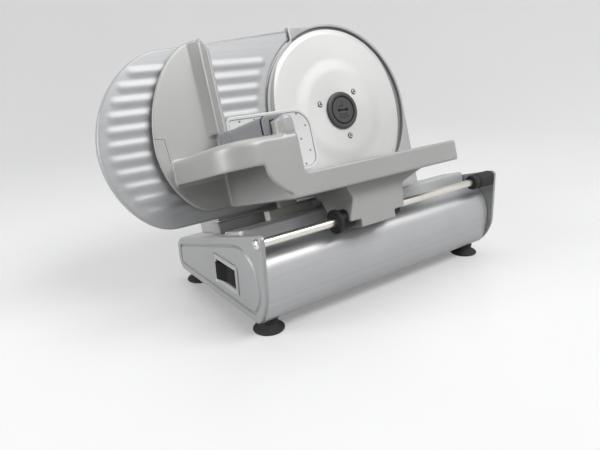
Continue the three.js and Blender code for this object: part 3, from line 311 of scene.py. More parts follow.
def rim(low: float, high: float, low_radius: float = 1.0, high_radius: float = 1.0,
        steps: int = 4, ring: float = 0.4) -> np.ndarray:
    """The side of a slab as (inset, depth) pairs: a quarter circle at each edge and a flat ring inside it."""
    t = np.linspace(math.pi / 2, 0, steps + 1)[::-1]
    sign = 1 if high > low else -1
    first = np.stack([low_radius * (1 - np.sin(t)), low + sign * low_radius * (1 - np.cos(t))], 1)
    last = np.stack([high_radius * (1 - np.sin(t)), high - sign * high_radius * (1 - np.cos(t))], 1)[::-1]
    return np.concatenate([[[low_radius + ring, low]], first, last, [[high_radius + ring, high]]])


def bent(spots: Sequence[Sequence[float]], steps: int = 4) -> np.ndarray:
    """An open profile from [radius, height, fillet] spots."""
    table = np.array([(*spot, 0.0)[:3] for spot in spots], float)
    return soften(table[:, :2], table[:, 2], steps, closed=False)


def smooth(t: np.ndarray) -> np.ndarray:
    """A soft step from 0 to 1: three times t squared less two times t cubed."""
    t = np.clip(t, 0, 1)
    return t * t * (3 - 2 * t)


class Skin:
    """Gathers the patches of one piece in a space, and makes its mesh.

    Args:
        space: the space of its sizes.
        facing: where its outlines look.
    """

    def __init__(self, space: Space, facing: Facing = Facing.FRONT) -> None:
        """Starts an empty skin."""
        self.space = space
        self.look(facing)
        self.points: list[np.ndarray] = []
        self.marks: list[np.ndarray] = []
        self.faces: list[list[int]] = []
        self.count = 0

    def look(self, facing: Facing) -> "Skin":
        """Turns the outlines that follow to a facing."""
        self.axes = np.array(facing.value, float)
        return self

    def add(self, points: np.ndarray, marks: np.ndarray, faces: np.ndarray) -> None:
        """Adds points (n, 3) of (a, b, depth), their texture marks (n, 2) and faces that index them."""
        self.points.append(points @ self.axes)
        self.marks.append(marks)
        self.faces += (faces + self.count).tolist()
        self.count += len(points)

    def grid(self, points: np.ndarray, marks: Optional[np.ndarray] = None) -> "Skin":
        """Adds a grid of points (rows, columns, 3) as four-sided faces.

        Args:
            points: the grid, of (a, b, depth).
            marks: texture marks (rows, columns, 2); the grid's own row and column shares without them.

        Returns:
            This skin.
        """
        rows, columns = points.shape[:2]
        if marks is None:
            share = np.meshgrid(np.linspace(0, 1, columns), np.linspace(0, 1, rows))
            marks = np.stack(share, 2)
        index = np.arange(rows * columns).reshape(rows, columns)
        faces = np.stack([index[:-1, :-1], index[:-1, 1:], index[1:, 1:], index[1:, :-1]], 2).reshape(-1, 4)
        self.add(points.reshape(-1, 3), marks.reshape(-1, 2), faces)
        return self

    def fill(self, loops: Sequence[np.ndarray], depth: float) -> "Skin":
        """Closes outlines, the first less the others, with flat triangles at a depth."""
        flat = [[Vector((x, y, 0)) for x, y in loop] for loop in loops]
        triangles = np.array([t for t in tessellate_polygon(flat) if len(set(t)) == 3])
        points = np.concatenate(loops)
        self.add(np.c_[points, np.full(len(points), depth)], points / 100, triangles)
        return self

    def carry(self, outline: Outline, profile: np.ndarray) -> "Skin":
        """Carries a profile of (inset, depth) pairs round an outline.

        Row i is the outline drawn inwards by the pair's inset at the pair's depth. The texture runs with the
        depth and with the length along the outline.
        """
        rows = np.stack([outline.at(inset) for inset, _ in profile])
        rows = np.concatenate([rows, rows[:, :1]], 1)
        depth = np.broadcast_to(profile[:, 1][:, None, None], (*rows.shape[:2], 1))
        run = np.r_[0, np.cumsum(np.linalg.norm(np.diff(rows[0], axis=0), axis=1))]
        marks = np.stack([depth[..., 0] / 100, np.broadcast_to(run / 100, rows.shape[:2])], 2)
        return self.grid(np.concatenate([rows, depth], 2), marks)

    def slab(self, outline: Outline, profile: np.ndarray, holes: Sequence[Outline] = ()) -> "Skin":
        """A closed plate: the outline's side, both faces, and holes through it with the same soft edges."""
        self.carry(outline, profile)
        mirrored = profile * [-1, 1]
        for hole in holes:
            self.carry(hole, mirrored)
        for inset, depth in (profile[0], profile[-1]):
            self.fill([outline.at(inset), *[hole.at(-inset) for hole in holes]], depth)
        return self

    def turn(self, profile: np.ndarray, centre: Sequence[float], segments: int = 64) -> "Skin":
        """Turns a profile of (radius, depth) pairs about an axis along the depth through a centre."""
        angle = np.linspace(0, TURN, segments + 1)
        radius, depth = profile[:, 0][:, None], profile[:, 1][:, None]
        a = centre[0] + radius * np.cos(angle)
        b = centre[1] + radius * np.sin(angle)
        run = np.r_[0, np.cumsum(np.linalg.norm(np.diff(profile, axis=0), axis=1))] / 100
        marks = np.stack([np.broadcast_to(angle / TURN, a.shape), np.broadcast_to(run[:, None], a.shape)], 2)
        return self.grid(np.stack([a, b, np.broadcast_to(depth, a.shape)], 2), marks)

    def mesh(self, name: str, in_row: bool = True) -> bpy.types.Mesh:
        """The mesh of all patches: seams welded, faces outwards, edges over 32 degrees kept sharp.

        Args:
            name: the mesh's name.
            in_row: whether to place it in the row frame; otherwise it stays in its own space, in metres.
        """
        points = np.concatenate(self.points)
        points = self.space.to_row(points) if in_row else points * MM
        mesh = bpy.data.meshes.new(name)
        mesh.from_pydata(points.tolist(), [], self.faces)
        layer = mesh.uv_layers.new(name=MARKS)
        index = np.empty(len(mesh.loops), np.int32)
        mesh.loops.foreach_get("vertex_index", index)
        layer.data.foreach_set("uv", np.concatenate(self.marks)[index].astype(np.float32).ravel())
        tidy(mesh)
        return mesh

    def remeshed(self, name: str, voxel: float, rounds: int) -> bpy.types.Mesh:
        """The union of all patches as one cast skin, its inner corners filled softly.

        Args:
            name: the mesh's name.
            voxel: the mesh's step, in millimetres.
            rounds: how often the surface is smoothed.
        """
        rough = present(name, self.mesh(name, in_row=False))
        remesh = rough.modifiers.new("skin", "REMESH")
        remesh.mode, remesh.voxel_size = "VOXEL", voxel * MM
        soft = rough.modifiers.new("soft", "SMOOTH")
        soft.factor, soft.iterations = 0.5, rounds
        bpy.context.view_layer.update()
        made = bpy.data.meshes.new_from_object(rough.evaluated_get(bpy.context.evaluated_depsgraph_get()))
        bpy.data.objects.remove(rough)
        place = np.empty(len(made.vertices) * 3, np.float32)
        made.vertices.foreach_get("co", place)
        row = self.space.to_row(place.reshape(-1, 3).astype(float) / MM)
        made.vertices.foreach_set("co", row.astype(np.float32).ravel())
        made.shade_smooth()
        made.update()
        return made


def tidy(mesh: bpy.types.Mesh) -> None:
    """Welds a mesh's seams, turns its faces outwards and marks its sharp edges."""
    shape = bmesh.new()
    shape.from_mesh(mesh)
    bmesh.ops.remove_doubles(shape, verts=shape.verts, dist=WELD)
    bmesh.ops.dissolve_degenerate(shape, edges=shape.edges, dist=1e-7)
    bmesh.ops.recalc_face_normals(shape, faces=shape.faces)
    shape.to_mesh(mesh)
    shape.free()
    mesh.shade_smooth()
    mesh.set_sharp_from_angle(angle=SHARP)


# Finishes


class Tree:
    """A hand for building a node tree."""

    def __init__(self, tree: bpy.types.NodeTree) -> None:
        """Takes the tree to build in."""
        self.tree = tree

    def add(self, kind: str, settings: Optional[dict] = None, **sockets: object) -> bpy.types.Node:
        """Adds a node.

        Args:
            kind: the node's type name after "ShaderNode".
            settings: the node's own properties.
            sockets: values, or output sockets to link, by input name with _ for a space.

        Returns:
            The node.
        """
        node = self.tree.nodes.new(f"ShaderNode{kind}")
        for name, value in (settings or {}).items():
            setattr(node, name, value)
        for name, value in sockets.items():
            self.put(node, name.replace("_", " "), value)
        return node

    def put(self, node: bpy.types.Node, name: str, value: object) -> None:
        """Sets or links one input of a node, named or numbered as in1."""
        socket = node.inputs[int(name[2:])] if name[:2] == "in" and name[2:].isdigit() else node.inputs[name]
        if isinstance(value, bpy.types.NodeSocket):
            self.tree.links.new(value, socket)
        else:
            socket.default_value = value

    def math(self, operation: str, first: object, second: object = 0.0) -> bpy.types.NodeSocket:
        """A sum, product or other operation on two values."""
        return self.add("Math", {"operation": operation}, in0=first, in1=second).outputs[0]

    def weighted(self, first: object, share: float, second: object) -> bpy.types.NodeSocket:
        """A share of one value with the rest of another."""
        return self.math("ADD", self.math("MULTIPLY", first, share), self.math("MULTIPLY", second, 1 - share))

    def vector(self, operation: str, first: object, **sockets: object) -> bpy.types.NodeSocket:
        """An operation on a vector."""
        return self.add("VectorMath", {"operation": operation}, in0=first, **sockets).outputs[0]

    def upright(self, vector: object, lean: object) -> bpy.types.NodeSocket:
        """A vector turned about the X axis by a lean."""
        return self.add("VectorRotate", {"rotation_type": "X_AXIS"}, Vector=vector, Angle=lean).outputs[0]

    def place(self) -> bpy.types.NodeSocket:
        """Where a point is on the object."""
        return self.add("TexCoord").outputs["Object"]

    def span(self, value: object, low: float, high: float,
             new_low: float, new_high: float) -> bpy.types.NodeSocket:
        """Maps a value from one range to another, held at its ends."""
        return self.add("MapRange", None, Value=value, From_Min=low, From_Max=high,
                        To_Min=new_low, To_Max=new_high).outputs["Result"]


class Effect(Enum):
    """Shader groups that several finishes share."""

    GRAIN = "fine_grain"
    BRUSH = "brush_lines"
    RINGS = "turned_rings"
    SMUDGE = "handling_marks"
    EDGE = "worn_edges"


GROUPS: dict[Effect, bpy.types.NodeTree] = {}


def start_group(effect: Effect, inputs: dict[str, tuple[str, object]], outputs: Sequence[str]) -> tuple:
    """Makes a shader group with its sockets.

    Args:
        effect: the group's name.
        inputs: socket type and default value by name.
        outputs: names of its values.

    Returns:
        The tree's hand, its input node and its output node.
    """
    tree = bpy.data.node_groups.new(effect.value, "ShaderNodeTree")
    for name, (kind, default) in inputs.items():
        tree.interface.new_socket(name, in_out="INPUT", socket_type=kind).default_value = default
    for name in outputs:
        tree.interface.new_socket(name, in_out="OUTPUT", socket_type="NodeSocketFloat")
    hand = Tree(tree)
    GROUPS[effect] = tree
    return hand, tree.nodes.new("NodeGroupInput"), tree.nodes.new("NodeGroupOutput")


def build_groups() -> None:
    """Builds every shared effect once."""
    number, vector = "NodeSocketFloat", "NodeSocketVector"
    level = {"Lean": (number, 0.0)}
    hand, given, out = start_group(Effect.GRAIN, {"Scale": (number, 900.0)}, ("Shade", "Height"))
    place, scale = hand.place(), given.outputs["Scale"]
    coarse = hand.add("TexNoise", None, Vector=place, Scale=scale, Detail=4.0, Roughness=0.6).outputs[0]
    finer = hand.math("MULTIPLY", scale, 4.3)
    fine = hand.add("TexNoise", None, Vector=place, Scale=finer, Detail=2.0).outputs[0]
    hand.put(out, "Shade", hand.span(coarse, 0.32, 0.68, 0.0, 1.0))
    hand.put(out, "Height", hand.weighted(coarse, 0.7, fine))

    stretch = {"Stretch": (vector, (1.0, 1.0, 1.0))}
    hand, given, out = start_group(Effect.BRUSH, stretch | level, ("Shade", "Height"))
    flat = hand.upright(hand.place(), given.outputs["Lean"])
    drawn = hand.vector("MULTIPLY", flat, in1=given.outputs["Stretch"])
    lines = hand.add("TexNoise", None, Vector=drawn, Scale=1.0, Detail=3.0, Roughness=0.7).outputs[0]
    broad = hand.vector("SCALE", drawn, Scale=0.17)
    bands = hand.add("TexNoise", None, Vector=broad, Scale=1.0, Detail=2.0).outputs[0]
    hand.put(out, "Shade", hand.span(hand.weighted(lines, 0.65, bands), 0.35, 0.65, 0.0, 1.0))
    hand.put(out, "Height", lines)

    rings = {"Centre": (vector, (0.0, 0.0, 0.0)), **level, "Scale": (number, 1.0)}
    hand, given, out = start_group(Effect.RINGS, rings, ("Shade", "Height", "Radius"))
    off = hand.vector("SUBTRACT", hand.place(), in1=given.outputs["Centre"])
    parts = hand.add("SeparateXYZ", None, in0=hand.upright(off, given.outputs["Lean"]))
    flat = hand.add("CombineXYZ", None, X=parts.outputs["X"], Y=parts.outputs["Z"]).outputs[0]
    radius = hand.add("VectorMath", {"operation": "LENGTH"}, in0=flat).outputs["Value"]
    slow = hand.vector("SCALE", hand.vector("NORMALIZE", flat), Scale=0.9)
    ring = hand.add("CombineXYZ", None, X=hand.math("MULTIPLY", radius, given.outputs["Scale"]))
    spot = hand.vector("ADD", ring.outputs[0], in1=slow)
    lines = hand.add("TexNoise", None, Vector=spot, Scale=1.0, Detail=4.0, Roughness=0.65).outputs[0]
    hand.put(out, "Shade", hand.span(lines, 0.3, 0.7, 0.0, 1.0))
    hand.put(out, "Height", lines)
    hand.put(out, "Radius", radius)

    hand, given, out = start_group(Effect.SMUDGE, {"Scale": (number, 14.0)}, ("Mask",))
    scale = given.outputs["Scale"]
    clouds = hand.add("TexNoise", None, Vector=hand.place(), Scale=scale, Detail=5.0, Distortion=0.6)
    hand.put(out, "Mask", hand.span(clouds.outputs[0], 0.42, 0.66, 0.0, 1.0))

    hand, given, out = start_group(Effect.EDGE, {"Softness": (number, 0.06)}, ("Mask",))
    sharpness = hand.add("NewGeometry").outputs["Pointiness"]
    breakup = hand.add("TexNoise", None, Vector=hand.place(), Scale=260.0, Detail=4.0)
    edge = hand.add("MapRange", None, Value=sharpness, From_Min=0.52, To_Min=0.0, To_Max=1.0)
    hand.put(edge, "From Max", hand.math("ADD", given.outputs["Softness"], 0.52))
    rubbed = hand.span(breakup.outputs[0], 0.4, 0.6, 0.25, 1.0)
    hand.put(out, "Mask", hand.math("MULTIPLY", edge.outputs[0], rubbed))


def effect(hand: Tree, kind: Effect, **sockets: object) -> bpy.types.Node:
    """Places a shared effect in a material."""
    node = hand.tree.nodes.new("ShaderNodeGroup")
    node.node_tree = GROUPS[kind]
    for name, value in sockets.items():
        hand.put(node, name.replace("_", " "), value)
    return node


def shades(hand: Tree, factor: bpy.types.NodeSocket, low: object, high: object) -> bpy.types.NodeSocket:
    """A colour between two others, each a shade or an output socket."""
    node = hand.add("Mix", {"data_type": "RGBA"}, in0=factor)
    for name, colour in (("in6", low), ("in7", high)):
        hand.put(node, name, colour if isinstance(colour, bpy.types.NodeSocket) else (*colour, 1))
    return node.outputs[2]


class Slot(Enum):
    """Material slots of the pieces."""

    CAST = "cast_aluminium"
    BRUSHED = "brushed_steel"
    POLISHED = "polished_steel"
    BLACK = "black_plastic"
    GREY = "grey_plastic"
    RUBBER = "rubber"
    NYLON = "nylon"
    CLEAR = "clear_plastic"
    SMOKY = "smoky_plastic"


@dataclass(frozen=True)
class Finish:
    """A finish: two close shades, its sheen, and the height of its texture.

    Args:
        name: the material's name.
        slot: the material slot of the pieces that have it; not used.
        dark: the darker shade.
        light: the lighter shade.
        rough: lowest and highest roughness over the surface.
        metallic: 1 for bare metal, 0 for plastic.
        grain: scale of its fine grain, per metre.
        relief: height of the grain's bump, in metres.
        wear: how far its edges are rubbed bright.
        sheen: strength of its highlight at a steep view.
    """

    name: str
    slot: Slot
    dark: tuple[float, float, float]
    light: tuple[float, float, float]
    rough: tuple[float, float]
    metallic: float = 0.0
    grain: float = 900.0
    relief: float = 4e-5
    wear: float = 0.0
    sheen: float = 0.5

    def texture(self, hand: Tree) -> tuple:
        """The shade mask and the height of the finish's texture."""
        node = effect(hand, Effect.GRAIN, Scale=self.grain)
        return node.outputs["Shade"], node.outputs["Height"]

    def dress(self, hand: Tree, shader: bpy.types.Node) -> None:
        """Sets what is the same all over the surface."""
        shader.inputs["Metallic"].default_value = self.metallic
        shader.inputs["Specular IOR Level"].default_value = self.sheen

    def build(self) -> bpy.types.Material:
        """Makes the material, once."""
        known = bpy.data.materials.get(self.name)
        if known:
            return known
        material = bpy.data.materials.new(self.name)
        material.use_nodes = True
        hand = Tree(material.node_tree)
        shader = material.node_tree.nodes["Principled BSDF"]
        shade, height = self.texture(hand)
        marks = effect(hand, Effect.SMUDGE).outputs["Mask"]
        colour = shades(hand, hand.weighted(shade, 0.75, marks), self.dark, self.light)
        if self.wear:
            worn = hand.math("MULTIPLY", effect(hand, Effect.EDGE).outputs["Mask"], self.wear)
            colour = shades(hand, worn, colour, [min(1.0, c * 1.25 + 0.05) for c in self.light])
        hand.put(shader, "Base Color", colour)
        hand.put(shader, "Roughness", hand.span(hand.weighted(marks, 0.6, shade), 0.0, 1.0, *self.rough))
        bump = hand.add("Bump", None, Strength=1.0, Distance=self.relief, Height=height)
        hand.put(shader, "Normal", bump.outputs[0])
        self.dress(hand, shader)
        return material


def stretch_highlight(hand: Tree, shader: bpy.types.Node, amount: float) -> None:
    """Stretches the highlight across the surface's texture marks."""
    shader.inputs["Anisotropic"].default_value = amount
    tangent = hand.add("Tangent", {"direction_type": "UV_MAP", "uv_map": MARKS})
    hand.put(shader, "Tangent", tangent.outputs[0])


@dataclass(frozen=True)
class Brushed(Finish):
    """Metal brushed in one direction: stretch is the pattern's scale along x, y and z, per metre."""

    stretch: tuple[float, float, float] = (8.0, 2500.0, 2500.0)
    lean: float = 0.0
    streak: float = 0.5

    def texture(self, hand: Tree) -> tuple:
        """Long fine lines."""
        node = effect(hand, Effect.BRUSH, Stretch=self.stretch, Lean=-self.lean)
        return node.outputs["Shade"], node.outputs["Height"]

    def dress(self, hand: Tree, shader: bpy.types.Node) -> None:
        """Bare metal whose highlight spreads across the brushing."""
        super().dress(hand, shader)
        stretch_highlight(hand, shader, self.streak)


@dataclass(frozen=True)
class Ground(Finish):
    """The disc: turned rings on its face, and a darker ground bevel outside a radius."""

    centre: tuple[float, float, float] = (0.0, 0.0, 0.0)
    bevel_from: float = 0.0885
    bevel_shade: tuple[float, float, float] = (0.30, 0.30, 0.29)
    bevel_rough: float = 0.55
    bevel_blend: float = 0.0002
    streak: float = 0.25

    def texture(self, hand: Tree) -> tuple:
        """Fine rings about the disc's centre."""
        node = effect(hand, Effect.RINGS, Centre=self.centre, Lean=-LAYOUT.lean, Scale=2600.0)
        return node.outputs["Shade"], node.outputs["Height"]

    def dress(self, hand: Tree, shader: bpy.types.Node) -> None:
        """Bare steel, darker on the bevel, with a highlight that fans out from the centre."""
        super().dress(hand, shader)
        rings = effect(hand, Effect.RINGS, Centre=self.centre, Lean=-LAYOUT.lean, Scale=600.0)
        start, end = self.bevel_from - self.bevel_blend, self.bevel_from + self.bevel_blend
        mask = hand.span(rings.outputs["Radius"], start, end, 0.0, 1.0)
        face = shader.inputs["Base Color"].links[0].from_socket
        hand.put(shader, "Base Color", shades(hand, mask, face, self.bevel_shade))
        dull = hand.math("MULTIPLY", mask, self.bevel_rough)
        smooth_face = shader.inputs["Roughness"].links[0].from_socket
        hand.put(shader, "Roughness", hand.math("MAXIMUM", smooth_face, dull))
        stretch_highlight(hand, shader, self.streak)


@dataclass(frozen=True)
class Clear(Finish):
    """Moulded see-through plastic: through is the share of light that passes, the rest is its milky body."""

    through: float = 1.0

    def dress(self, hand: Tree, shader: bpy.types.Node) -> None:
        """Lets light through."""
        super().dress(hand, shader)
        shader.inputs["Transmission Weight"].default_value = self.through
        shader.inputs["IOR"].default_value = 1.46


@dataclass(frozen=True)
class Painted(Finish):
    """Satin silver paint on a casting, under a thin coat."""

    def dress(self, hand: Tree, shader: bpy.types.Node) -> None:
        """Adds the coat."""
        super().dress(hand, shader)
        shader.inputs["Coat Weight"].default_value = 0.18
        shader.inputs["Coat Roughness"].default_value = 0.22


BLADE_CENTRE = tuple(float(v) for v in HEAD.to_row(np.array([LAYOUT.blade_x, 0.0, 0.0])))

CAST = Painted("satin_casting", Slot.CAST, (0.43, 0.43, 0.42), (0.50, 0.50, 0.488), (0.38, 0.48),
               metallic=0.20, grain=1500.0, relief=1.2e-5, wear=0.04)
SILVER = Painted("silver_paint", Slot.CAST, (0.42, 0.425, 0.43), (0.49, 0.495, 0.50), (0.36, 0.46),
                 metallic=0.25, grain=1700.0, relief=1.0e-5, wear=0.05)
GUARD = Painted("guard_casting", Slot.CAST, (0.46, 0.465, 0.465), (0.54, 0.545, 0.545), (0.36, 0.46),
                metallic=0.25, grain=1500.0, relief=1.0e-5, wear=0.08)
SHEET = Brushed("brushed_shell", Slot.BRUSHED, (0.52, 0.525, 0.535), (0.61, 0.615, 0.625), (0.36, 0.44),
                metallic=0.38, relief=4e-6, stretch=(3.0, 2500.0, 2500.0), streak=0.5)
DECK = Brushed("brushed_deck", Slot.CAST, (0.52, 0.525, 0.53), (0.60, 0.605, 0.61), (0.40, 0.50),
               metallic=0.4, relief=8e-6, lean=LAYOUT.lean, streak=0.3)
RIBBED = Brushed("anodised_sheet", Slot.CAST, (0.44, 0.448, 0.458), (0.52, 0.528, 0.538), (0.42, 0.50),
                 metallic=0.30, relief=4e-6, stretch=(6.0, 1800.0, 1800.0), lean=LAYOUT.lean, streak=0.3)
DISC = Ground("ground_disc", Slot.POLISHED, (0.68, 0.68, 0.67), (0.76, 0.76, 0.75), (0.50, 0.58),
              metallic=0.36, relief=5e-7, centre=BLADE_CENTRE, bevel_shade=(0.30, 0.295, 0.285))
POLISHED = Finish("polished_bar", Slot.POLISHED, (0.62, 0.60, 0.55), (0.76, 0.74, 0.69), (0.30, 0.38),
                  metallic=1.0, grain=700.0, relief=5e-7)
BRIGHT = Finish("bright_steel", Slot.POLISHED, (0.62, 0.62, 0.60), (0.76, 0.76, 0.74), (0.18, 0.28),
                metallic=1.0, relief=3e-6)
SATIN = Finish("satin_steel", Slot.POLISHED, (0.52, 0.52, 0.51), (0.64, 0.64, 0.63), (0.38, 0.48),
               metallic=0.6, relief=2e-6)
BLACK = Finish("black_moulding", Slot.BLACK, (0.008, 0.008, 0.009), (0.018, 0.018, 0.020), (0.40, 0.55),
               grain=2400.0, relief=2.5e-5, sheen=0.2)
GLOSS = Finish("black_rocker", Slot.BLACK, (0.005, 0.005, 0.006), (0.010, 0.010, 0.011), (0.38, 0.48),
               grain=1800.0, relief=8e-6, sheen=0.1)
CHARCOAL = Finish("charcoal_moulding", Slot.BLACK, (0.060, 0.060, 0.061), (0.090, 0.090, 0.091), (0.38, 0.50),
                  grain=2600.0, relief=2e-5, sheen=0.4)
FRAME = Finish("frame_moulding", Slot.GREY, (0.56, 0.565, 0.57), (0.64, 0.645, 0.65), (0.34, 0.46),
               grain=2400.0, relief=2e-5)
GREY = Finish("grey_moulding", Slot.GREY, (0.20, 0.205, 0.21), (0.27, 0.275, 0.28), (0.36, 0.50),
              grain=2200.0, relief=2.5e-5)
RUBBER = Finish("rubber", Slot.RUBBER, (0.005, 0.005, 0.005), (0.012, 0.012, 0.012), (0.50, 0.70),
                grain=1600.0, relief=5e-5, sheen=0.06)
NYLON = Finish("nylon", Slot.NYLON, (0.52, 0.52, 0.50), (0.62, 0.62, 0.60), (0.42, 0.56),
               grain=1500.0, relief=2.5e-5)
CLEAR = Clear("clear_moulding", Slot.CLEAR, (0.95, 0.96, 0.96), (0.99, 0.99, 0.99), (0.10, 0.18),
              grain=300.0, relief=2e-6, through=0.14)
SMOKY = Clear("smoky_moulding", Slot.SMOKY, (0.30, 0.305, 0.325), (0.38, 0.385, 0.405), (0.24, 0.34),
              grain=600.0, relief=1e-5, through=0.2)
NAVY = Finish("navy_band", Slot.SMOKY, (0.006, 0.008, 0.035), (0.010, 0.014, 0.055), (0.30, 0.40),
              relief=1e-5, sheen=0.3)


def piece(name: str, mesh: bpy.types.Mesh, finish: Finish,
          body: str = "base", nodes: Sequence[str] = ()) -> None:
    """Shows a finished mesh as a piece of the object.

    Args:
        name: the piece's name.
        mesh: its mesh, in the row frame.
        finish: its finish.
        body: the body that it moves with.
        nodes: the CAD nodes that it stands for.
    """
    shown = present(name, mesh)
    mesh.materials.clear()
    mesh.materials.append(finish.build())
    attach(shown, body)
    if nodes:
        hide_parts(*nodes)
    LOG.info("%s: %d faces on %s", name, len(mesh.polygons), body)


def clad(skin: Skin, node: str, finish: Finish, body: str = "base") -> None:
    """Shows a skin as the piece that stands for one CAD node."""
    piece(f"{node}_skin", skin.mesh(node), finish, body, [node])


# The base


@dataclass(frozen=True)
class Base:
    """End plates, front sheet, covers, feet and gland of the base."""

    nose_depth: float = 19.0
    nose_height: float = 32.0
    back_radius: float = 12.0
    panel_step: float = 2.2
    recess_reach: float = 4.8
    recess_depth: float = 1.6
    switch_low: tuple[float, float] = (44.0, 33.0)
    switch_high: tuple[float, float] = (87.5, 58.3)
    bezel_reach: float = 2.3
    corner: float = 6.0
    groove_outside: tuple[float, float] = (7.2, 46.0)
    groove_inside: tuple[float, float] = (11.6, 41.6)
    groove_wall: float = 0.22
    groove_floor: float = 0.34
    groove_steps: int = 17
    gland: tuple[float, float] = (60.0, 30.0)
    gland_bore: float = 6.3
    cover: float = 2.5
    vent_front: float = 88.0
    vent_back: float = 128.0
    vent_width: float = 4.0
    vent_start: float = 96.0
    vent_end: float = 228.0
    vent_pitch: float = 12.0
    foot_inset: float = 17.0
    foot_front: float = 27.5
    foot_back: float = 8.5
    foot_radius: float = 15.5
    shell_setback: float = 5.5
    bulge_height: float = 50.0
    shell_flange: float = 20.0
    shell_share: float = 0.62
    sheet: float = 1.2

    def side_outline(self, margin: float, corner: float) -> np.ndarray:
        """The end plates' side view drawn inwards: round back corners, sloping top and drawn-in nose."""
        front, back = LAYOUT.front + margin, LAYOUT.front + LAYOUT.depth - margin
        low = LAYOUT.clearance + margin
        radius = self.back_radius - margin
        nose = LAYOUT.front + self.nose_depth + margin / 2

        def top(y: float) -> float:
            """Height of the sloping top edge."""
            return LAYOUT.plane_height(LAYOUT.deck_drop, y) - margin

        foot = np.linspace([nose, low], [back - radius, low], 12)
        slope_y = np.linspace(back - radius, front + corner, 24)
        slope = np.stack([slope_y, top(slope_y)], 1)
        face = np.linspace([front, top(front) - corner], [front, LAYOUT.clearance + self.nose_height], 10)
        return np.concatenate([
            foot[:-1], swing(foot[-1], [back, low], [back, low + radius])[:-1],
            swing([back, top(back) - radius], [back, top(back)], [back - radius, top(back - radius)])[:-1],
            slope[:-1], swing(slope[-1], [front, top(front)], face[0])[:-1],
            face[:-1], swing(face[-1], [front, low], [nose, low], 0.35)[:-1]])

    def end_plate(self, name: str, outer: float, inner: float, hole: bool) -> None:
        """One end plate: soft outer edge, flat border, grooved panel and the switch's sunk opening."""
        skin = Skin(BASE, Facing.SIDE)
        edge = Outline(self.side_outline(0.0, self.corner))
        sign = 1 if inner > outer else -1
        profile = rim(inner, outer, 0.5, 1.6, 5)
        rows = [np.c_[edge.at(inset), np.full(len(edge.points), depth)] for inset, depth in profile]
        first, last = self.side_outline(*self.groove_outside), self.side_outline(*self.groove_inside)
        for t in np.linspace(0, 1, self.groove_steps):
            rise = smooth((t - self.groove_floor) / (1 - self.groove_floor))
            depth = outer + sign * self.panel_step * smooth(t / self.groove_wall) * (1 - rise)
            rows.append(np.c_[first + (last - first) * t, np.full(len(first), depth)])
        rows = np.stack(rows)
        skin.grid(np.concatenate([rows, rows[:, :1]], 1))
        holes = [rectangle(self.switch_low, self.switch_high, 1.0)] if hole else []
        skin.fill([rows[-1][:, :2], *[h.at(-self.recess_reach) for h in holes]], outer)
        skin.fill([rows[0][:, :2], *[h.at(0) for h in holes]], inner)
        reach, sunk = self.recess_reach, self.recess_depth
        for opening in holes:
            skin.carry(opening, bent([[-reach, outer], [0.4 - reach, outer, 0.3],
                                      [-self.bezel_reach, sunk, 0.3], [0, sunk], [0, inner]], 4))
        clad(skin, name, SILVER)

    def shell_edge(self, inset: float) -> np.ndarray:
        """One side of the bent front sheet: flange, belly, bulge and top."""
        top_y, top_z = LAYOUT.head_point(-60.0, -LAYOUT.deck_drop - 10.0)
        foot = np.array([LAYOUT.front + self.nose_depth, LAYOUT.clearance + inset])
        bulge = np.array([LAYOUT.front + self.shell_setback + inset, self.bulge_height])
        top = np.array([top_y, top_z - inset])
        flange = np.linspace(foot + [self.shell_flange, 0], foot, 6)
        belly = swing(foot, [bulge[0], foot[1]], bulge, self.shell_share, 28)
        crown = swing(bulge, [bulge[0], top[1]], top, self.shell_share, 32)
        return np.concatenate([flange[:-1], belly[:-1], crown])

    def shell(self) -> None:
        """The bent front sheet between the end plates."""
        section = Outline(chain(self.shell_edge(0.0), self.shell_edge(self.sheet)[::-1]))
        profile = rim(LAYOUT.inner_left, LAYOUT.inner_right, 0.25, 0.25, 2, 0.05)
        long = np.linspace(profile[3], profile[-4], 24)
        skin = Skin(BASE, Facing.SIDE).slab(section, np.concatenate([profile[:4], long[1:-1], profile[-4:]]))
        clad(skin, "front_shell", SHEET)

    def covers(self) -> None:
        """Bottom cover, back wall and the cord's gland."""
        front = LAYOUT.front + self.nose_depth + self.shell_flange + LAYOUT.gap
        back = LAYOUT.front + LAYOUT.depth - self.back_radius / 3
        low = LAYOUT.clearance
        plan = rectangle((LAYOUT.inner_left, front), (LAYOUT.inner_right, back), 2.0)
        wide = self.vent_width
        slots = [rectangle((x, self.vent_front), (x + wide, self.vent_back), wide / 2)
                 for x in np.arange(self.vent_start, self.vent_end, self.vent_pitch)]
        bottom = Skin(BASE, Facing.PLAN).slab(plan, rim(low + self.cover, low, 0.4, 0.8, 3), slots)
        clad(bottom, "bottom_cover", GREY)
        seat = self.cover + LAYOUT.gap
        top = float(LAYOUT.plane_height(LAYOUT.deck_drop + seat, back))
        wall = rectangle((LAYOUT.inner_left, low + seat), (LAYOUT.inner_right, top), 1.5)
        side = rim(back - self.sheet, back, 0.3, 0.5, 3)
        sheet = Skin(BASE).slab(wall, side, [circle(self.gland, self.gland_bore)])
        clad(sheet, "back_wall", SHEET)
        collar = bent([[3.0, -6.0], [6.0, -6.0, 0.5], [6.0, 0.3], [8.5, 0.3, 0.3], [8.5, 1.5, 0.7],
                       [6.4, 1.5, 0.3], [6.2, 3.4, 0.3], [5.2, 3.6, 0.3], [5.2, 4.6, 0.3], [5.9, 4.8, 0.3],
                       [5.7, 6.8, 0.3], [4.8, 7.0, 0.3], [4.8, 8.0, 0.3], [5.4, 8.2, 0.3], [5.1, 12.0, 0.8],
                       [3.0, 12.0, 0.6], [3.0, -6.0]])
        gland = Skin(BASE).turn(collar + [0, back], self.gland, 40)
        clad(gland, "cord_gland", BLACK)

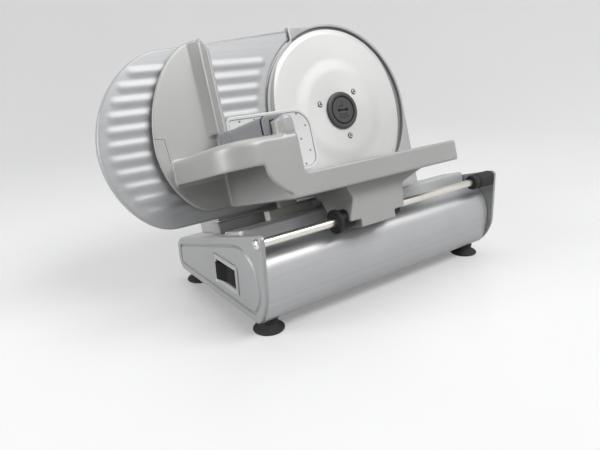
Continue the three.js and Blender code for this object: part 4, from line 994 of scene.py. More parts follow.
    def foot(self, name: str, x: float, y: float) -> None:
        """A suction foot: hollow cup, soft lip, waist and neck."""
        r, top = self.foot_radius, LAYOUT.clearance - LAYOUT.gap
        cup = bent([[0, 2.4], [0.55 * r, 2.0, 3.0], [0.80 * r, 0.25, 2.0], [0.95 * r, 0.0, 0.5],
                    [r, 1.0, 0.6], [r - 0.5, 2.0, 0.8], [0.70 * r, 4.6, 4.0], [0.55 * r, 7.2, 1.4],
                    [0.55 * r, 8.4, 0.5], [0.60 * r, 9.0, 0.5], [0.60 * r, top, 0.6], [0, top]], 5)
        skin = Skin(BASE, Facing.PLAN).turn(cup, (x, y), 56)
        clad(skin, f"foot_{name}", RUBBER)

    def build(self) -> None:
        """Builds the whole base."""
        self.end_plate("left_end_plate", 0.0, LAYOUT.plate, True)
        self.end_plate("right_end_plate", LAYOUT.width, LAYOUT.width - LAYOUT.plate, False)
        self.shell()
        self.covers()
        front = LAYOUT.front + self.foot_front
        back = LAYOUT.front + LAYOUT.depth - self.foot_back - self.foot_radius / 2
        for side, x in (("left", self.foot_inset), ("right", LAYOUT.width - self.foot_inset)):
            self.foot(f"front_{side}", x, front)
            self.foot(f"back_{side}", x, back)


@dataclass(frozen=True)
class Deck:
    """Deck, plinth and rear strip, square to the blade."""

    front: float = 60.0
    back: float = 96.0
    step_front: float = 26.0
    step: float = 3.8
    lip: float = 8.0
    wall: float = 2.5
    corner: float = 9.0
    plinth_inset: float = 8.0
    plinth_right: float = 155.7
    plinth_front: float = 4.5
    plinth_back: float = 24.5

    def top(self) -> None:
        """The deck: a sheet whose section runs along x, and its raised front strip with round corners."""
        low, t = -LAYOUT.deck_drop, self.wall
        high = low + self.step
        f, s = self.front, self.step_front
        section = corners([[self.back, low - self.lip, 0.5], [self.back, low, 1.6],
                           [-s + self.step, low, 5.0], [-s, high, 4.0], [-s - 6, high, 2.0],
                           [-s - 9, high - 1.2], [-s - 9, high - t], [-s - 1, high - t, 2.0],
                           [-s + self.step - 1, low - t, 3.0], [self.back - t, low - t, 0.4],
                           [self.back - t, low - self.lip, 0.5]], 5)
        start, end = LAYOUT.inner_left, LAYOUT.inner_right
        skin = Skin(HEAD, Facing.SIDE).slab(section, rim(start, end, 0.3, 0.3, 2, 0.05))
        skin.look(Facing.PLAN)
        strip = corners([[start, -s - 1, 0.3], [start, -f, self.corner], [end, -f, self.corner],
                         [end, -s - 1, 0.3]], 10)
        skin.slab(strip, rim(low - self.lip, high, 0.4, 1.6, 6))
        clad(skin, "deck", DECK)

    def plinth(self) -> None:
        """The long plinth under the blade and its screw."""
        high = -LAYOUT.deck_drop + LAYOUT.plinth_height
        left = LAYOUT.inner_left + self.plinth_inset
        plan = rectangle((left, self.plinth_front), (self.plinth_right, self.plinth_back), 2.0)
        body = Skin(HEAD, Facing.PLAN).slab(plan, rim(LAYOUT.stand, high, 0.3, 1.6, 4))
        clad(body, "plinth", CAST)
        head = bent([[0, 0.3], [2.6, 0.3, 0.2], [2.5, 1.2, 0.8], [1.7, 2.5, 0.9], [0, 2.9]], 5)
        screw = Skin(HEAD, Facing.PLAN).turn(head + [0, high], (left + 3.8, 8.3), 32)
        clad(screw, "plinth_screw", BRIGHT)

    def build(self) -> None:
        """Builds the deck's pieces."""
        self.top()
        self.plinth()


@dataclass(frozen=True)
class GuideRod:
    """Guide rod, buffer sleeve and the dome-headed screws at its ends."""

    sleeve_radius: float = 8.5
    sleeve_length: float = 32.0
    dome_radius: float = 4.9
    dome_height: float = 2.6
    dome_power: float = 0.62
    cross_width: float = 0.55
    cross_reach: float = 2.7
    cross_depth: float = 1.3

    def bar(self) -> None:
        """The bar with its small chamfers, and the soft sleeve at its right end."""
        left, right = LAYOUT.inner_left, LAYOUT.inner_right
        r, bore, wide = LAYOUT.rod_radius, LAYOUT.rod_bore, self.sleeve_radius
        profile = bent([[0, left], [r - 0.5, left], [r, left + 0.5, 0.2], [r, right - 0.5, 0.2],
                        [r - 0.5, right], [0, right]])
        skin = Skin(HEAD, Facing.SIDE).turn(profile, LAYOUT.rod_place, 64)
        clad(skin, "guide_rod", POLISHED)
        start, end = right - self.sleeve_length, right - LAYOUT.gap
        ring = bent([[bore, start], [7.6, start, 0.9], [8.3, start + 2.2, 0.6], [8.3, start + 5.4, 0.5],
                     [7.6, start + 5.9, 0.4], [7.6, start + 8.4, 0.4], [wide, start + 9.0, 0.8],
                     [wide, end, 0.8], [bore, end], [bore, start]])
        sleeve = Skin(HEAD, Facing.SIDE).turn(ring, LAYOUT.rod_place, 56)
        clad(sleeve, "buffer_sleeve", RUBBER)

    def screw(self, name: str, seat: float, side: int) -> None:
        """A dome with a cross recess.

        The dome's height is one less the square of the distance from its middle, to the dome's power. Two
        soft-edged strokes across it, which grow shallower to their ends, take their depth from that.
        """
        r = np.linspace(0, self.dome_radius, 34)[:, None]
        angle = np.linspace(0, TURN, 129)[None]
        height = self.dome_height * np.clip(1 - (r / self.dome_radius) ** 2, 0, 1) ** self.dome_power

        def stroke(across: np.ndarray, along: np.ndarray) -> np.ndarray:
            """One stroke of the recess, from 0 to 1."""
            wide = 1 - smooth((np.abs(across) - self.cross_width) / 0.3)
            return wide * np.clip(1.15 - np.abs(along) / self.cross_reach, 0, 1) ** 0.7

        a, b = r * np.cos(angle), r * np.sin(angle)
        height = height - self.cross_depth * np.maximum(stroke(a, b), stroke(b, a))
        dome = np.stack([a, b + LAYOUT.rod_height, seat - side * height], 2)
        skin = Skin(BASE, Facing.SIDE).grid(dome)
        edge = bent([[self.dome_radius, 0], [self.dome_radius, 0.2], [2.2, 0.2], [2.2, 6.0], [0, 6.0]], 1)
        skin.turn(edge * [1, side] + [0, seat], (0.0, LAYOUT.rod_height), 128)
        clad(skin, name, BRIGHT)

    def build(self) -> None:
        """Builds the rod's pieces."""
        self.bar()
        self.screw("rod_screw_left", -LAYOUT.gap, 1)
        self.screw("rod_screw_right", LAYOUT.width + LAYOUT.gap, -1)


@dataclass(frozen=True)
class Switch:
    """Bezel with its sleeve, and the rocker in it."""

    low: tuple[float, float] = (42.0, 31.0)
    size: tuple[float, float] = (47.5, 29.3)
    pivot: float = 6.0
    tilt: float = math.radians(7)
    half: float = 17.0
    half_height: float = 9.5

    def build(self) -> None:
        """Builds both pieces."""
        high = (self.low[0] + self.size[0], self.low[1] + self.size[1])
        frame_line = rectangle(self.low, high, 2.4)
        ring = bent([[0.0, 1.4], [0.0, -0.5, 0.6], [1.8, -0.5, 0.3], [2.1, -0.1, 0.2], [2.5, -0.1, 0.2],
                     [2.8, -0.5, 0.3], [3.9, -0.5, 0.4], [4.5, 0.2, 0.3], [4.5, 12.0, 0.3], [2.3, 12.0, 0.3],
                     [2.3, 1.4], [0.0, 1.4]], 3)
        skin = Skin(BASE, Facing.SIDE).carry(frame_line, ring)
        clad(skin, "switch_frame", FRAME)
        c, s = math.cos(self.tilt), math.sin(self.tilt)
        middle = (self.low[0] + high[0]) / 2
        spots = np.array([[-7.6, -self.half, 1.0], [-5.2, 0.0, 6.0], [-7.6, self.half, 1.0],
                          [0, self.half, 0.8], [3.4, 3.4, 1.0], [3.4, -3.4, 1.0], [0, -self.half, 0.8]])
        a, b, radius = spots.T
        turned = np.c_[a * c - b * s + self.pivot, a * s + b * c + middle, radius]
        centre = (self.low[1] + high[1]) / 2
        side = rim(centre - self.half_height, centre + self.half_height, 0.9, 0.9, 4)
        rocker = Skin(BASE, Facing.PLAN).slab(corners(turned.tolist(), 5), side)
        clad(rocker, "switch_rocker", GLOSS, "rocker")


# Blade and its housing


@dataclass(frozen=True)
class Blade:
    """Disc blade, its three screws and the lock nut."""

    thickness: float = 1.5
    boss: float = 52.0
    bore: float = 10.0
    bevel: float = 6.5
    screw_circle: float = 30.5
    screw_start: float = math.radians(160.5)
    nut_radius: float = 21.5
    nut_height: float = 3.2

    def disc(self) -> None:
        """The disc: raised boss, flat web, ground bevel and a thin edge."""
        r, b, t = LAYOUT.blade_radius, self.boss, self.thickness
        inner, bore = r - self.bevel, self.bore
        profile = bent([[bore, -t], [b - 5.0, -t, 60.0], [b + 8.0, 0.0, 60.0], [inner, 0.0, 0.8],
                        [r, 1.15, 0.1], [inner, t, 0.5], [b + 0.8, t, 1.0], [b - 0.8, 0.0, 1.0], [bore, 0.0],
                        [bore, -t]], 6)
        skin = Skin(HEAD).turn(profile, (LAYOUT.blade_x, 0.0), 288)
        clad(skin, "blade", DISC, "blade")

    def screws(self) -> None:
        """Three low heads with round sockets, a painted shadow ring round each and painted shade in each
        socket.
        """
        seat = -self.thickness - 0.1
        head = bent([[0, seat - 0.3], [1.2, seat - 0.3, 0.1], [1.35, seat - 1.15, 0.15],
                     [2.2, seat - 1.15, 0.35], [2.7, seat - 0.5, 0.3], [2.7, seat, 0.1], [1.3, seat, 0.1],
                     [1.3, 1.9, 0.1], [0, 1.9]], 4)
        for i in range(3):
            angle = self.screw_start + TURN * i / 3
            across, up = self.screw_circle * math.cos(angle), self.screw_circle * math.sin(angle)
            place = (LAYOUT.blade_x + across, up)
            skin = Skin(HEAD).turn(head, place, 32)
            name = f"blade_screw_{i + 1}"
            clad(skin, name, SATIN, "blade")
            # A black ring round the head paints the shadow of a countersink gap; a black disc paints the
            # shade in the socket.
            gap = bent([[2.72, seat + 0.1], [2.72, seat + 0.02], [3.5, seat + 0.02], [3.5, seat + 0.1],
                        [2.72, seat + 0.1]])
            socket_shade = bent([[0, seat - 0.36], [1.18, seat - 0.36], [1.18, seat - 0.2], [0, seat - 0.2]])
            dark = Skin(HEAD).turn(gap, place, 32).turn(socket_shade, place, 24)
            piece(f"{name}_shade", dark.mesh("screw_painted_shade"), BLACK, "blade")

    def nut(self) -> None:
        """The lock nut: domed rim, groove and coin slot, with painted shade in them and in two engraved arcs
        and a bent arrow.
        """
        back = -self.thickness - LAYOUT.gap
        face = back - self.nut_height
        x = LAYOUT.blade_x
        skin = Skin(HEAD)
        slot = slot_line(x)
        skin.fill([circle((x, 0), 13.2, 96).at(0), slot.at(-0.3)], face + 0.35)
        skin.carry(slot, np.array([[-0.3, face + 0.35], [-0.1, face + 0.42], [0, face + 0.7],
                                   [0, face + 1.75]]))
        skin.fill([slot.at(0)], face + 1.75)
        profile = bent([[13.2, face + 0.35], [14.6, face + 0.35, 0.3], [15.0, face + 1.5, 0.3],
                        [16.2, face + 1.5, 0.3], [16.7, face, 0.4], [19.2, face, 0.6],
                        [21.2, face + 0.9, 0.8], [self.nut_radius, back, 0.2], [5.1, back, 0.3],
                        [5.1, 12.0, 0.5], [0, 12.0]], 5)
        skin.turn(profile, (x, 0.0), 96)
        clad(skin, "lock_nut", CHARCOAL, "lock_nut")
        # Thin black slabs paint the shade in the engraved arcs and arrow, in the groove and at the bottom of
        # the coin slot.
        marks, shade_inlay = Skin(HEAD), rim(face + 0.45, face + 0.3, 0.02, 0.05, 2, 0.02)
        for radius, spread in ((6.9, 0.85), (10.0, 0.75)):
            inner = arc((x, 1.5), radius, -math.pi / 2 - spread, -math.pi / 2 + spread, 24)
            outer = arc((x, 1.5), radius + 0.75, -math.pi / 2 + spread, -math.pi / 2 - spread, 24)
            marks.slab(Outline(chain(inner, outer)), shade_inlay)
        shaft = corners([[x - 3.2, 4.6], [x + 0.4, 4.6], [x + 0.4, 10.2], [x - 0.4, 10.2], [x - 0.4, 5.4],
                         [x - 3.2, 5.4]])
        tip = corners([[x - 5.2, 5.0], [x - 3.2, 3.7], [x - 3.2, 6.3]])
        for line in (shaft, tip):
            marks.slab(line, shade_inlay)
        marks.turn(bent([[14.75, face + 1.1], [16.35, face + 1.1], [16.35, face + 1.3], [14.75, face + 1.3],
                         [14.75, face + 1.1]]), (x, 0.0), 96)
        marks.slab(slot, rim(face + 1.8, face + 1.7, 0.02, 0.02, 2, 0.02))
        piece("lock_nut_painted_shade", marks.mesh("nut_painted_shade"), BLACK, "lock_nut")

    def build(self) -> None:
        """Builds the blade's pieces."""
        self.disc()
        self.screws()
        self.nut()


def slot_line(x: float) -> Corners:
    """The nut's coin slot about a middle: a bar that widens at both ends."""
    half = [(7.2, 1.5, 0.6), (4.6, 1.5, 0.5), (3.8, 0.9, 0.5)]
    side = [(-a, b, r) for a, b, r in half] + half[::-1]
    return corners([[x + a, -b, r] for a, b, r in side] + [[x + a, b, r] for a, b, r in side[::-1]], 4)


@dataclass(frozen=True)
class Housing:
    """Blade housing with its guard edge, motor case and rear cover."""

    guard: float = 100.0
    well: float = 97.0
    hub_bore: float = 13.0
    lip: float = 1.0
    dish: float = 4.2
    wall: float = 2.5
    depth: float = 78.0
    top: float = 98.0
    top_left: float = 142.5
    foot_left: float = 156.0
    case_left: float = 116.0
    case_top: float = 46.0
    case_knee: float = 50.0
    case_corner: float = 18.0
    blade_gap: float = 1.0
    vent_left: float = 231.0
    vent_right: float = 288.0
    vent_half: float = 2.0
    vent_pitch: float = 12.0
    cover_screws: tuple = ((126.0, 34.0), (280.0, 30.0), (285.0, -96.0), (164.0, -96.0))

    def guard_line(self) -> np.ndarray:
        """The guard's front view: wedge, round top, straight right side, foot, and the arc at its left."""
        x, stand = LAYOUT.blade_x, LAYOUT.stand
        left = LAYOUT.blade_radius + self.blade_gap
        start = math.pi - math.asin(self.top / self.guard)
        from_angle = math.pi + math.acos((x - self.foot_left) / left)
        to_angle = math.pi - math.acos((x - self.top_left) / left)
        round_top = arc((x, 0), self.guard, start, 0.0, 60)
        round_left = arc((x, 0), left, from_angle, to_angle, 48)
        foot = [[x + self.guard, stand], [self.foot_left, stand]]
        return chain([[self.top_left, self.top]], round_top, foot, round_left)

    def case_line(self) -> np.ndarray:
        """The motor case's front view."""
        x, stand = LAYOUT.blade_x, LAYOUT.stand
        left, top, bend = self.case_left, self.case_top, self.case_corner
        start = math.asin(top / self.guard)
        bend_line = swing([left, top - bend], [left, top], [left + bend, top])
        round_right = arc((x, 0), self.guard, start, 0.0, 24)
        foot = [[x + self.guard, stand], [self.foot_left, stand],
                [self.foot_left, stand + LAYOUT.plinth_height]]
        return chain([[left, -self.case_knee]], bend_line, round_right, foot)

    def front(self) -> None:
        """The guard: a plate with soft front edges, a well for the disc and a thin inner lip."""
        line = Outline(self.guard_line())
        disc = circle((LAYOUT.blade_x, 0), self.well, 192)
        hub = circle((LAYOUT.blade_x, 0), self.hub_bore, 48)
        back = self.dish + self.wall
        edge = rim(back, -self.lip, 0.4, 0.9, 4, 0.2)
        skin = Skin(HEAD).carry(line, edge)
        skin.fill([line.at(edge[-1][0]), disc.at(-0.9)], -self.lip)
        well = np.array([[-0.9, -self.lip], [-0.35, -self.lip + 0.12], [-0.08, -self.lip + 0.4],
                         [0, -self.lip + 0.9], [0, self.dish - 0.8], [0.25, self.dish - 0.2],
                         [0.8, self.dish]])
        skin.carry(disc, well)
        skin.fill([disc.at(0.8), hub.at(0)], self.dish)
        skin.carry(hub, np.array([[0, self.dish], [0, back]]))
        skin.fill([line.at(edge[0][0]), hub.at(0)], back)
        piece("blade_guard", skin.mesh("guard"), GUARD, "base", ["blade_housing"])

    def case(self) -> None:
        """The motor case: an open-backed box with a wall and soft outer edges."""
        line = Outline(self.case_line())
        back, front = self.depth, self.dish + 1.0
        profile = np.array([[self.wall, self.dish + self.wall], [self.wall, back - 0.3],
                            [self.wall - 0.3, back], [0.6, back], [0.15, back - 0.2], [0.0, back - 0.7],
                            [0.0, front]])
        skin = Skin(HEAD).carry(line, profile)
        skin.fill([line.at(self.wall)], self.dish + self.wall)
        skin.fill([line.at(0)], front)
        piece("motor_case", skin.mesh("case"), SILVER)

    def cover(self) -> None:
        """The rear cover with its rows of round-ended vents."""
        low = self.depth + LAYOUT.gap
        line = Outline(self.case_line())
        half = self.vent_half
        vents = [rectangle((self.vent_left, z - half), (self.vent_right, z + half), half, 5)
                 for z in -LAYOUT.worm_drop + np.arange(-3, 4) * self.vent_pitch]
        skin = Skin(HEAD).slab(line, rim(low, low + self.wall, 0.3, 1.2, 4), vents)
        clad(skin, "rear_cover", GREY)
        head = bent([[0, 0.5], [0.9, 0.5, 0.1], [1.0, 1.3, 0.2], [2.4, 1.3, 0.4], [3.0, 0.0, 0.2], [0, 0.0]])
        for i, place in enumerate(self.cover_screws):
            screw = Skin(HEAD).turn(head + [0, low + self.wall], place, 32)
            piece(f"cover_screw_{i + 1}", screw.mesh("cover_screw"), BRIGHT)

    def build(self) -> None:
        """Builds the housing."""
        self.front()
        self.case()
        self.cover()


# Thickness plate


@dataclass(frozen=True)
class ThicknessPlate:
    """Ribbed plate to the left of the blade, with its slide housing and knob."""

    reach: float = 86.0
    top: float = 82.5
    rise: float = 12.5
    widest: float = 11.0
    upper_run: float = 80.0
    lower_run: float = 57.0
    bottom: float = 88.0
    right: float = 141.0
    edge_gap: float = 3.5
    setback: float = 0.6
    flange: float = 8.0
    sheet: float = 2.5
    ribs: int = 11
    rib_top: float = 62.6
    rib_pitch: float = 13.1
    rib_crown: float = 0.3
    rib_flank: float = 6.0
    rib_fade: float = 20.0
    rib_height: float = 0.85
    rib_edge: float = 11.0
    rib_start: float = 8.0
    rib_end: float = 2.6
    rib_round: float = 4.0
    edge_radius: float = 2.2
    slide_left: float = 24.0
    slide_right: float = 110.0
    slide_top: float = -25.0
    slide_front: float = 27.0
    slide_back: float = 80.0
    knob: tuple[float, float] = (52.0, -62.0)
    knob_bore: float = 5.3
    knob_radius: float = 22.0
    knob_front: float = 80.3
    knob_length: float = 17.0
    knob_grips: int = 16

    def borders(self, count: int, rows: int) -> tuple:
        """The plate's four borders, each as evenly spread points.

        Returns:
            Top and bottom edge left to right, left curve and right arc top to bottom.
        """
        x, r = LAYOUT.blade_x, LAYOUT.blade_radius + self.edge_gap
        start = math.pi - math.acos((x - self.right) / r)
        end = math.pi + math.asin(self.bottom / r)
        ball = arc((x, 0), r, start, end, 200)
        right = np.concatenate([np.linspace([self.right, self.top + self.rise], ball[0], 12)[:-1], ball])
        edge, low = -self.reach, -self.bottom
        upper = swing([edge, -self.widest], [edge, self.top], [edge + self.upper_run, self.top], 0.5, 90)
        lower = swing([edge, -self.widest], [edge, low], [edge + self.lower_run, low], 0.5, 90)
        left = np.concatenate([upper[::-1], lower[1:]])
        top = np.stack([upper[-1], right[0]])
        bottom = np.stack([lower[-1], right[-1]])
        return spread(top, count), spread(bottom, count), spread(left, rows), spread(right, rows)

    def rib_lift(self, points: np.ndarray) -> np.ndarray:
        """How far the ribs lift the sheet at points (..., 2).

        Each rib falls in a soft step with the distance to its middle line, which runs between two inset
        borders, and its left end fades out over a long run.
        """
        lift = np.zeros(points.shape[:-1])
        edge = LAYOUT.blade_radius + self.edge_gap + self.rib_edge
        left_line = self.borders(4, 400)[2]
        for i in range(self.ribs):
            z = self.rib_top - i * self.rib_pitch
            left = np.interp(-z, -left_line[:, 1], left_line[:, 0]) + self.rib_start
            right = LAYOUT.blade_x - math.sqrt(edge ** 2 - z ** 2) - self.rib_end
            along = np.maximum(np.maximum(left + self.rib_round - points[..., 0], points[..., 0] - right), 0)
            far = np.hypot(along, points[..., 1] - z)
            fade = smooth((points[..., 0] - left + self.rib_fade / 2) / self.rib_fade)
            lift = np.maximum(lift, fade * (1 - smooth((far - self.rib_crown) / self.rib_flank)))
        return self.rib_height * lift

    def plate(self) -> None:
        """The sheet: a patch between four borders, lifted by the ribs, its rim turned back.

        The patch is the sum of the two ruled surfaces between facing borders, less the flat one of the
        corners.
        """
        count, rows = 200, 170
        top, bottom, left, right = self.borders(count, rows)
        rounding = Outline(chain(top[:-1], right[:-1], bottom[::-1][:-1], left[::-1][:-1]))
        r, front, back = self.edge_radius, self.setback, self.setback + self.flange

        def patch(inset: float) -> np.ndarray:
            """The patch drawn inwards."""
            line = pushed(rounding.points, inset)
            t, q = line[:count], line[count - 1:count + rows - 1]
            b = line[count + rows - 2:2 * count + rows - 2][::-1]
            p = np.concatenate([line[:1], line[2 * count + rows - 3:][::-1]])
            u, v = np.linspace(0, 1, count)[None, :, None], np.linspace(0, 1, rows)[:, None, None]
            ruled = (1 - v) * t[None] + v * b[None] + (1 - u) * p[:, None] + u * q[:, None]
            flat = (1 - u) * ((1 - v) * t[0] + v * b[0]) + u * ((1 - v) * t[-1] + v * b[-1])
            return ruled - flat

        def lifted(flat: np.ndarray, depth: float) -> np.ndarray:
            """The patch at a depth, with its ribs."""
            return np.concatenate([flat, (depth - self.rib_lift(flat))[..., None]], 2)

        face, inner = patch(r), patch(self.sheet + 1.0)
        skin = Skin(HEAD).grid(lifted(face, front), face / 100)
        t = np.linspace(0, math.pi / 2, 7)
        outside = np.stack([r * (1 - np.sin(t)), front + r * (1 - np.cos(t))], 1)
        inside = np.array([[0, back - 0.4], [0.3, back], [self.sheet - 0.3, back], [self.sheet, back - 0.4],
                           [self.sheet, front + self.sheet + 1.0],
                           [self.sheet + 0.3, front + self.sheet + 0.3],
                           [self.sheet + 1.0, front + self.sheet]])
        skin.carry(rounding, np.concatenate([outside, inside]))
        skin.grid(lifted(inner, front + self.sheet)[:, ::-1], inner / 100)
        clad(skin, "thickness_plate", RIBBED, "thickness")

    def slide(self) -> None:
        """Slide housing behind the plate and the scalloped knob with its raised pointer."""
        left, right, top, stand = self.slide_left, self.slide_right, self.slide_top, LAYOUT.stand
        section = corners([[left, stand, 0.5], [right, stand, 0.5], [right, top, 8], [left, top, 8]])
        shell = Skin(HEAD).slab(section, rim(self.slide_front, self.slide_back, 1.2, 2.0, 4))
        clad(shell, "slide_housing", CAST)
        (x, z), radius, front = self.knob, self.knob_radius, self.knob_front
        end = front + self.knob_length
        profile = bent([[self.knob_bore, front], [radius - 1.5, front, 0.5], [radius, front + 3.0, 1.5],
                        [radius, end - 2, 2.0], [radius - 3, end, 1.2], [radius - 5, end - 0.8, 0.8],
                        [0, end - 0.8]], 6)
        angle = np.linspace(0, TURN, 257)[None]
        r, depth = profile[:, :1], profile[:, 1:]
        grip = smooth((r - 14) / 6) * smooth((depth - front - 2.5) / 2)
        dent = 1.5 * grip * np.clip(np.cos(self.knob_grips * angle), 0, 1) ** 1.6
        a, b = x + (r - dent) * np.cos(angle), z + (r - dent) * np.sin(angle)
        knob = Skin(HEAD).grid(np.stack([a, b, np.broadcast_to(depth, a.shape)], 2))
        knob.fill([circle(self.knob, self.knob_bore, 256).at(0)], front)
        base, tip = z + 2, z + 15.5
        pointer = corners([[x - 1.2, base, 0.6], [x + 1.2, base, 0.6], [x + 0.6, tip, 0.5],
                           [x - 0.6, tip, 0.5]])
        knob.slab(pointer, rim(end - 1.2, end, 0.05, 0.35, 3, 0.05))
        clad(knob, "thickness_knob", BLACK, "knob")

    def build(self) -> None:
        """Builds the plate and its drive's outer pieces."""
        self.plate()
        self.slide()


def spread(points: np.ndarray, count: int) -> np.ndarray:
    """Spreads a number of points evenly along a path."""
    run = np.r_[0, np.cumsum(np.linalg.norm(np.diff(points, axis=0), axis=1))]
    at = np.linspace(0, run[-1], count)
    return np.stack([np.interp(at, run, points[:, 0]), np.interp(at, run, points[:, 1])], 1)


# Carriage and pusher


@dataclass(frozen=True)
class Carriage:
    """The cast carriage, its bracket, bushes, ring and shoe."""

    sheet: float = 3.0
    forward: float = 6.0
    reach: float = 38.0
    top: float = 87.0
    widest: float = 14.0
    bottom: float = 79.0
    upper_run: float = 66.0
    lower_run: float = 45.0
    shelf_left: float = -25.0
    shelf_right: float = 43.0
    shelf_top: float = -25.0
    shelf_skirt: float = 23.0
    shelf_corner: float = 32.0
    shelf_edge: float = 6.5
    fin_front: float = -29.0
    tray_front: float = 125.0
    tray_top: float = -60.0
    tray_bottom: float = -80.0
    tray_right: float = 233.0
    tray_corner: float = 7.0
    rail_top: float = -13.0
    voxel: float = 1.25
    web_reach: float = 42.0
    left: float = 92.0
    right: float = 161.0
    flare_left: float = 95.0
    flare_right: float = 198.0
    notch: float = 8.0
    notch_left: float = 105.0
    notch_right: float = 148.0
    bracket_back: float = -82.0
    bracket_front: float = -107.0
    bush_radius: float = 9.8
    bush_length: float = 13.8
    bush_left: float = 88.0
    bush_right: float = 147.0
    ring_left: float = 84.0
    ring_right: float = 87.7
    shoe_left: float = 59.0
    shoe_right: float = 114.0
    stem_left: float = 75.5
    stem_right: float = 97.5

    @property
    def under_tray(self) -> float:
        """Height of what hangs under the tray's sheet."""
        return self.tray_top - self.sheet - LAYOUT.gap

    def rest(self, skin: Skin) -> None:
        """The upright food rest: a plate rounded at its left."""
        skin.look(Facing.FRONT)
        left, right = -self.reach, LAYOUT.fin_x + self.sheet
        low, middle = -self.bottom, [left, -self.widest]
        lower = swing([left + self.lower_run, low], [left, low], middle, 0.5, 28)
        upper = swing(middle, [left, self.top], [left + self.upper_run, self.top], 0.5, 40)
        line = chain([[right, low]], lower, upper, [[right, self.top]])
        skin.slab(Outline(line), rim(-self.forward, -self.forward - self.sheet, 0.9, 1.3, 4))

    def fin(self, skin: Skin) -> None:
        """The fin with its rail, and the chamfer between it and the rest."""
        x, t, top, front = LAYOUT.fin_x, self.sheet, self.top, self.fin_front
        skin.look(Facing.SIDE)
        end = t - self.tray_front
        line = corners([[-self.forward, self.tray_bottom, 1], [-self.forward, top, 1], [-14, top, 7],
                        [front, top - 15, 9], [front, self.rail_top, 2], [end, self.rail_top, 2],
                        [end, self.tray_bottom, 1]], 8)
        skin.slab(line, rim(x, x + t, 1.2, 1.2, 4, 0.1))
        skin.look(Facing.PLAN)
        face = -self.forward - t
        wedge = corners([[x - 10, face + 1.5], [x - 10, face], [x, face - 7], [x + 1.5, face - 7],
                         [x + 1.5, face + 1.5]], 1)
        skin.slab(wedge, rim(-7, top - t, 0.1, 0.6, 2, 0.1))

    def shelf(self, skin: Skin) -> None:
        """The shelf: an open-bottomed box with a widely rounded left corner and a soft top edge."""
        t = self.sheet
        skin.look(Facing.PLAN)
        back = -self.forward - t / 2
        line = corners([[self.shelf_left, back, 0.2], [self.shelf_left, -self.tray_front, self.shelf_corner],
                        [self.shelf_right, -self.tray_front, 5], [self.shelf_right, back, 0.2]], 14)
        top, low = self.shelf_top, self.shelf_top - self.shelf_skirt
        turn = np.linspace(0, math.pi / 2, 7)
        wide, tight = self.shelf_edge, self.shelf_edge - t
        outer = np.stack([wide * (1 - np.cos(turn)), top - wide * (1 - np.sin(turn))], 1)
        inner = np.stack([t + tight * (1 - np.cos(turn)), top - t - tight * (1 - np.sin(turn))], 1)[::-1]
        profile = np.concatenate([inner, [[t, low + 0.6], [t - 0.6, low], [0.6, low], [0, low + 0.6]], outer])
        skin.carry(line, profile)
        skin.fill([line.at(profile[0][0])], profile[0][1])
        skin.fill([line.at(profile[-1][0])], profile[-1][1])
        skin.look(Facing.SIDE)
        side = corners([[-self.tray_front + 1, self.tray_top - 1.5], [-self.forward - 1, self.tray_top - 1.5],
                        [-self.forward - 1, top - 4, 1], [-self.tray_front + 1, top - 4, 1]], 4)
        skin.slab(side, rim(self.shelf_right - t, self.shelf_right, 0.3, 0.3, 2, 0.1))

    def tray(self, skin: Skin) -> None:
        """The tray: an open-bottomed box, and the front wall that sweeps down to it from the shelf."""
        t, right, corner = self.sheet, self.tray_right, self.tray_corner
        skin.look(Facing.PLAN)
        line = corners([[LAYOUT.fin_x, -5.0, 0.5], [LAYOUT.fin_x, -self.tray_front, 0.5],
                        [right, -self.tray_front, corner], [right, -5.0, corner]], 8)
        top, low = self.tray_top, self.tray_bottom
        profile = np.array([[t, top - t], [t, low + 0.5], [t - 0.5, low], [0.5, low], [0, low + 0.5],
                            [0, top - 1.3], [0.4, top - 0.4], [1.3, top]])
        skin.carry(line, profile)
        skin.fill([line.at(t)], top - t)
        skin.fill([line.at(1.3)], top)
        skin.look(Facing.FRONT)
        skirt, side, end = self.shelf_top - self.shelf_skirt, self.shelf_right, right - corner
        under = swing([6, skirt], [6, low], [44, low], 0.5, 24)
        over = swing([side + 4, top], [side, top], [side, top + 4], 0.5, 8)
        wall = chain([[6, self.shelf_top - 3]], [[6, skirt]], under[1:], [[end, low], [end, top]], over,
                     [[side, self.shelf_top - 3]])
        skin.slab(Outline(wall), rim(-self.tray_front + t, -self.tray_front, 0.6, 0.9, 3, 0.1))
        root = self.shelf_top - 1.5
        horn = corners([[29.5, root, 0.5], [side - 0.4, root, 0.5], [41.2, -10.5, 5], [30.5, -10.5, 5]], 8)
        skin.slab(horn, rim(-self.tray_front + 12, -self.tray_front, 3.0, 2.5, 6, 0.1))

    def body(self) -> None:
        """All walls of the casting, joined into one skin with soft inner corners."""
        skin = Skin(HEAD)
        for wall in (self.rest, self.fin, self.shelf, self.tray):
            wall(skin)
        mesh = skin.remeshed("carriage", self.voxel, 3)
        piece("carriage_body_skin", mesh, CAST, "carriage", ["carriage_body"])
        face = -self.forward - self.sheet
        line = Skin(HEAD)
        across = corners([[-36.6, -1.9], [-27.2, -3.6], [-27.0, -3.2], [-36.6, -1.5]])
        down = corners([[-27.4, -3.4], [-27.0, -3.4], [-25.6, -34.0], [-26.0, -34.0]])
        for mark in (across, down):
            line.slab(mark, rim(face + 0.3, face - 0.04, 0.02, 0.02, 2, 0.02))
        piece("rest_joint_line", line.mesh("joint_line"), replace(CHARCOAL, slot=Slot.CAST), "carriage")

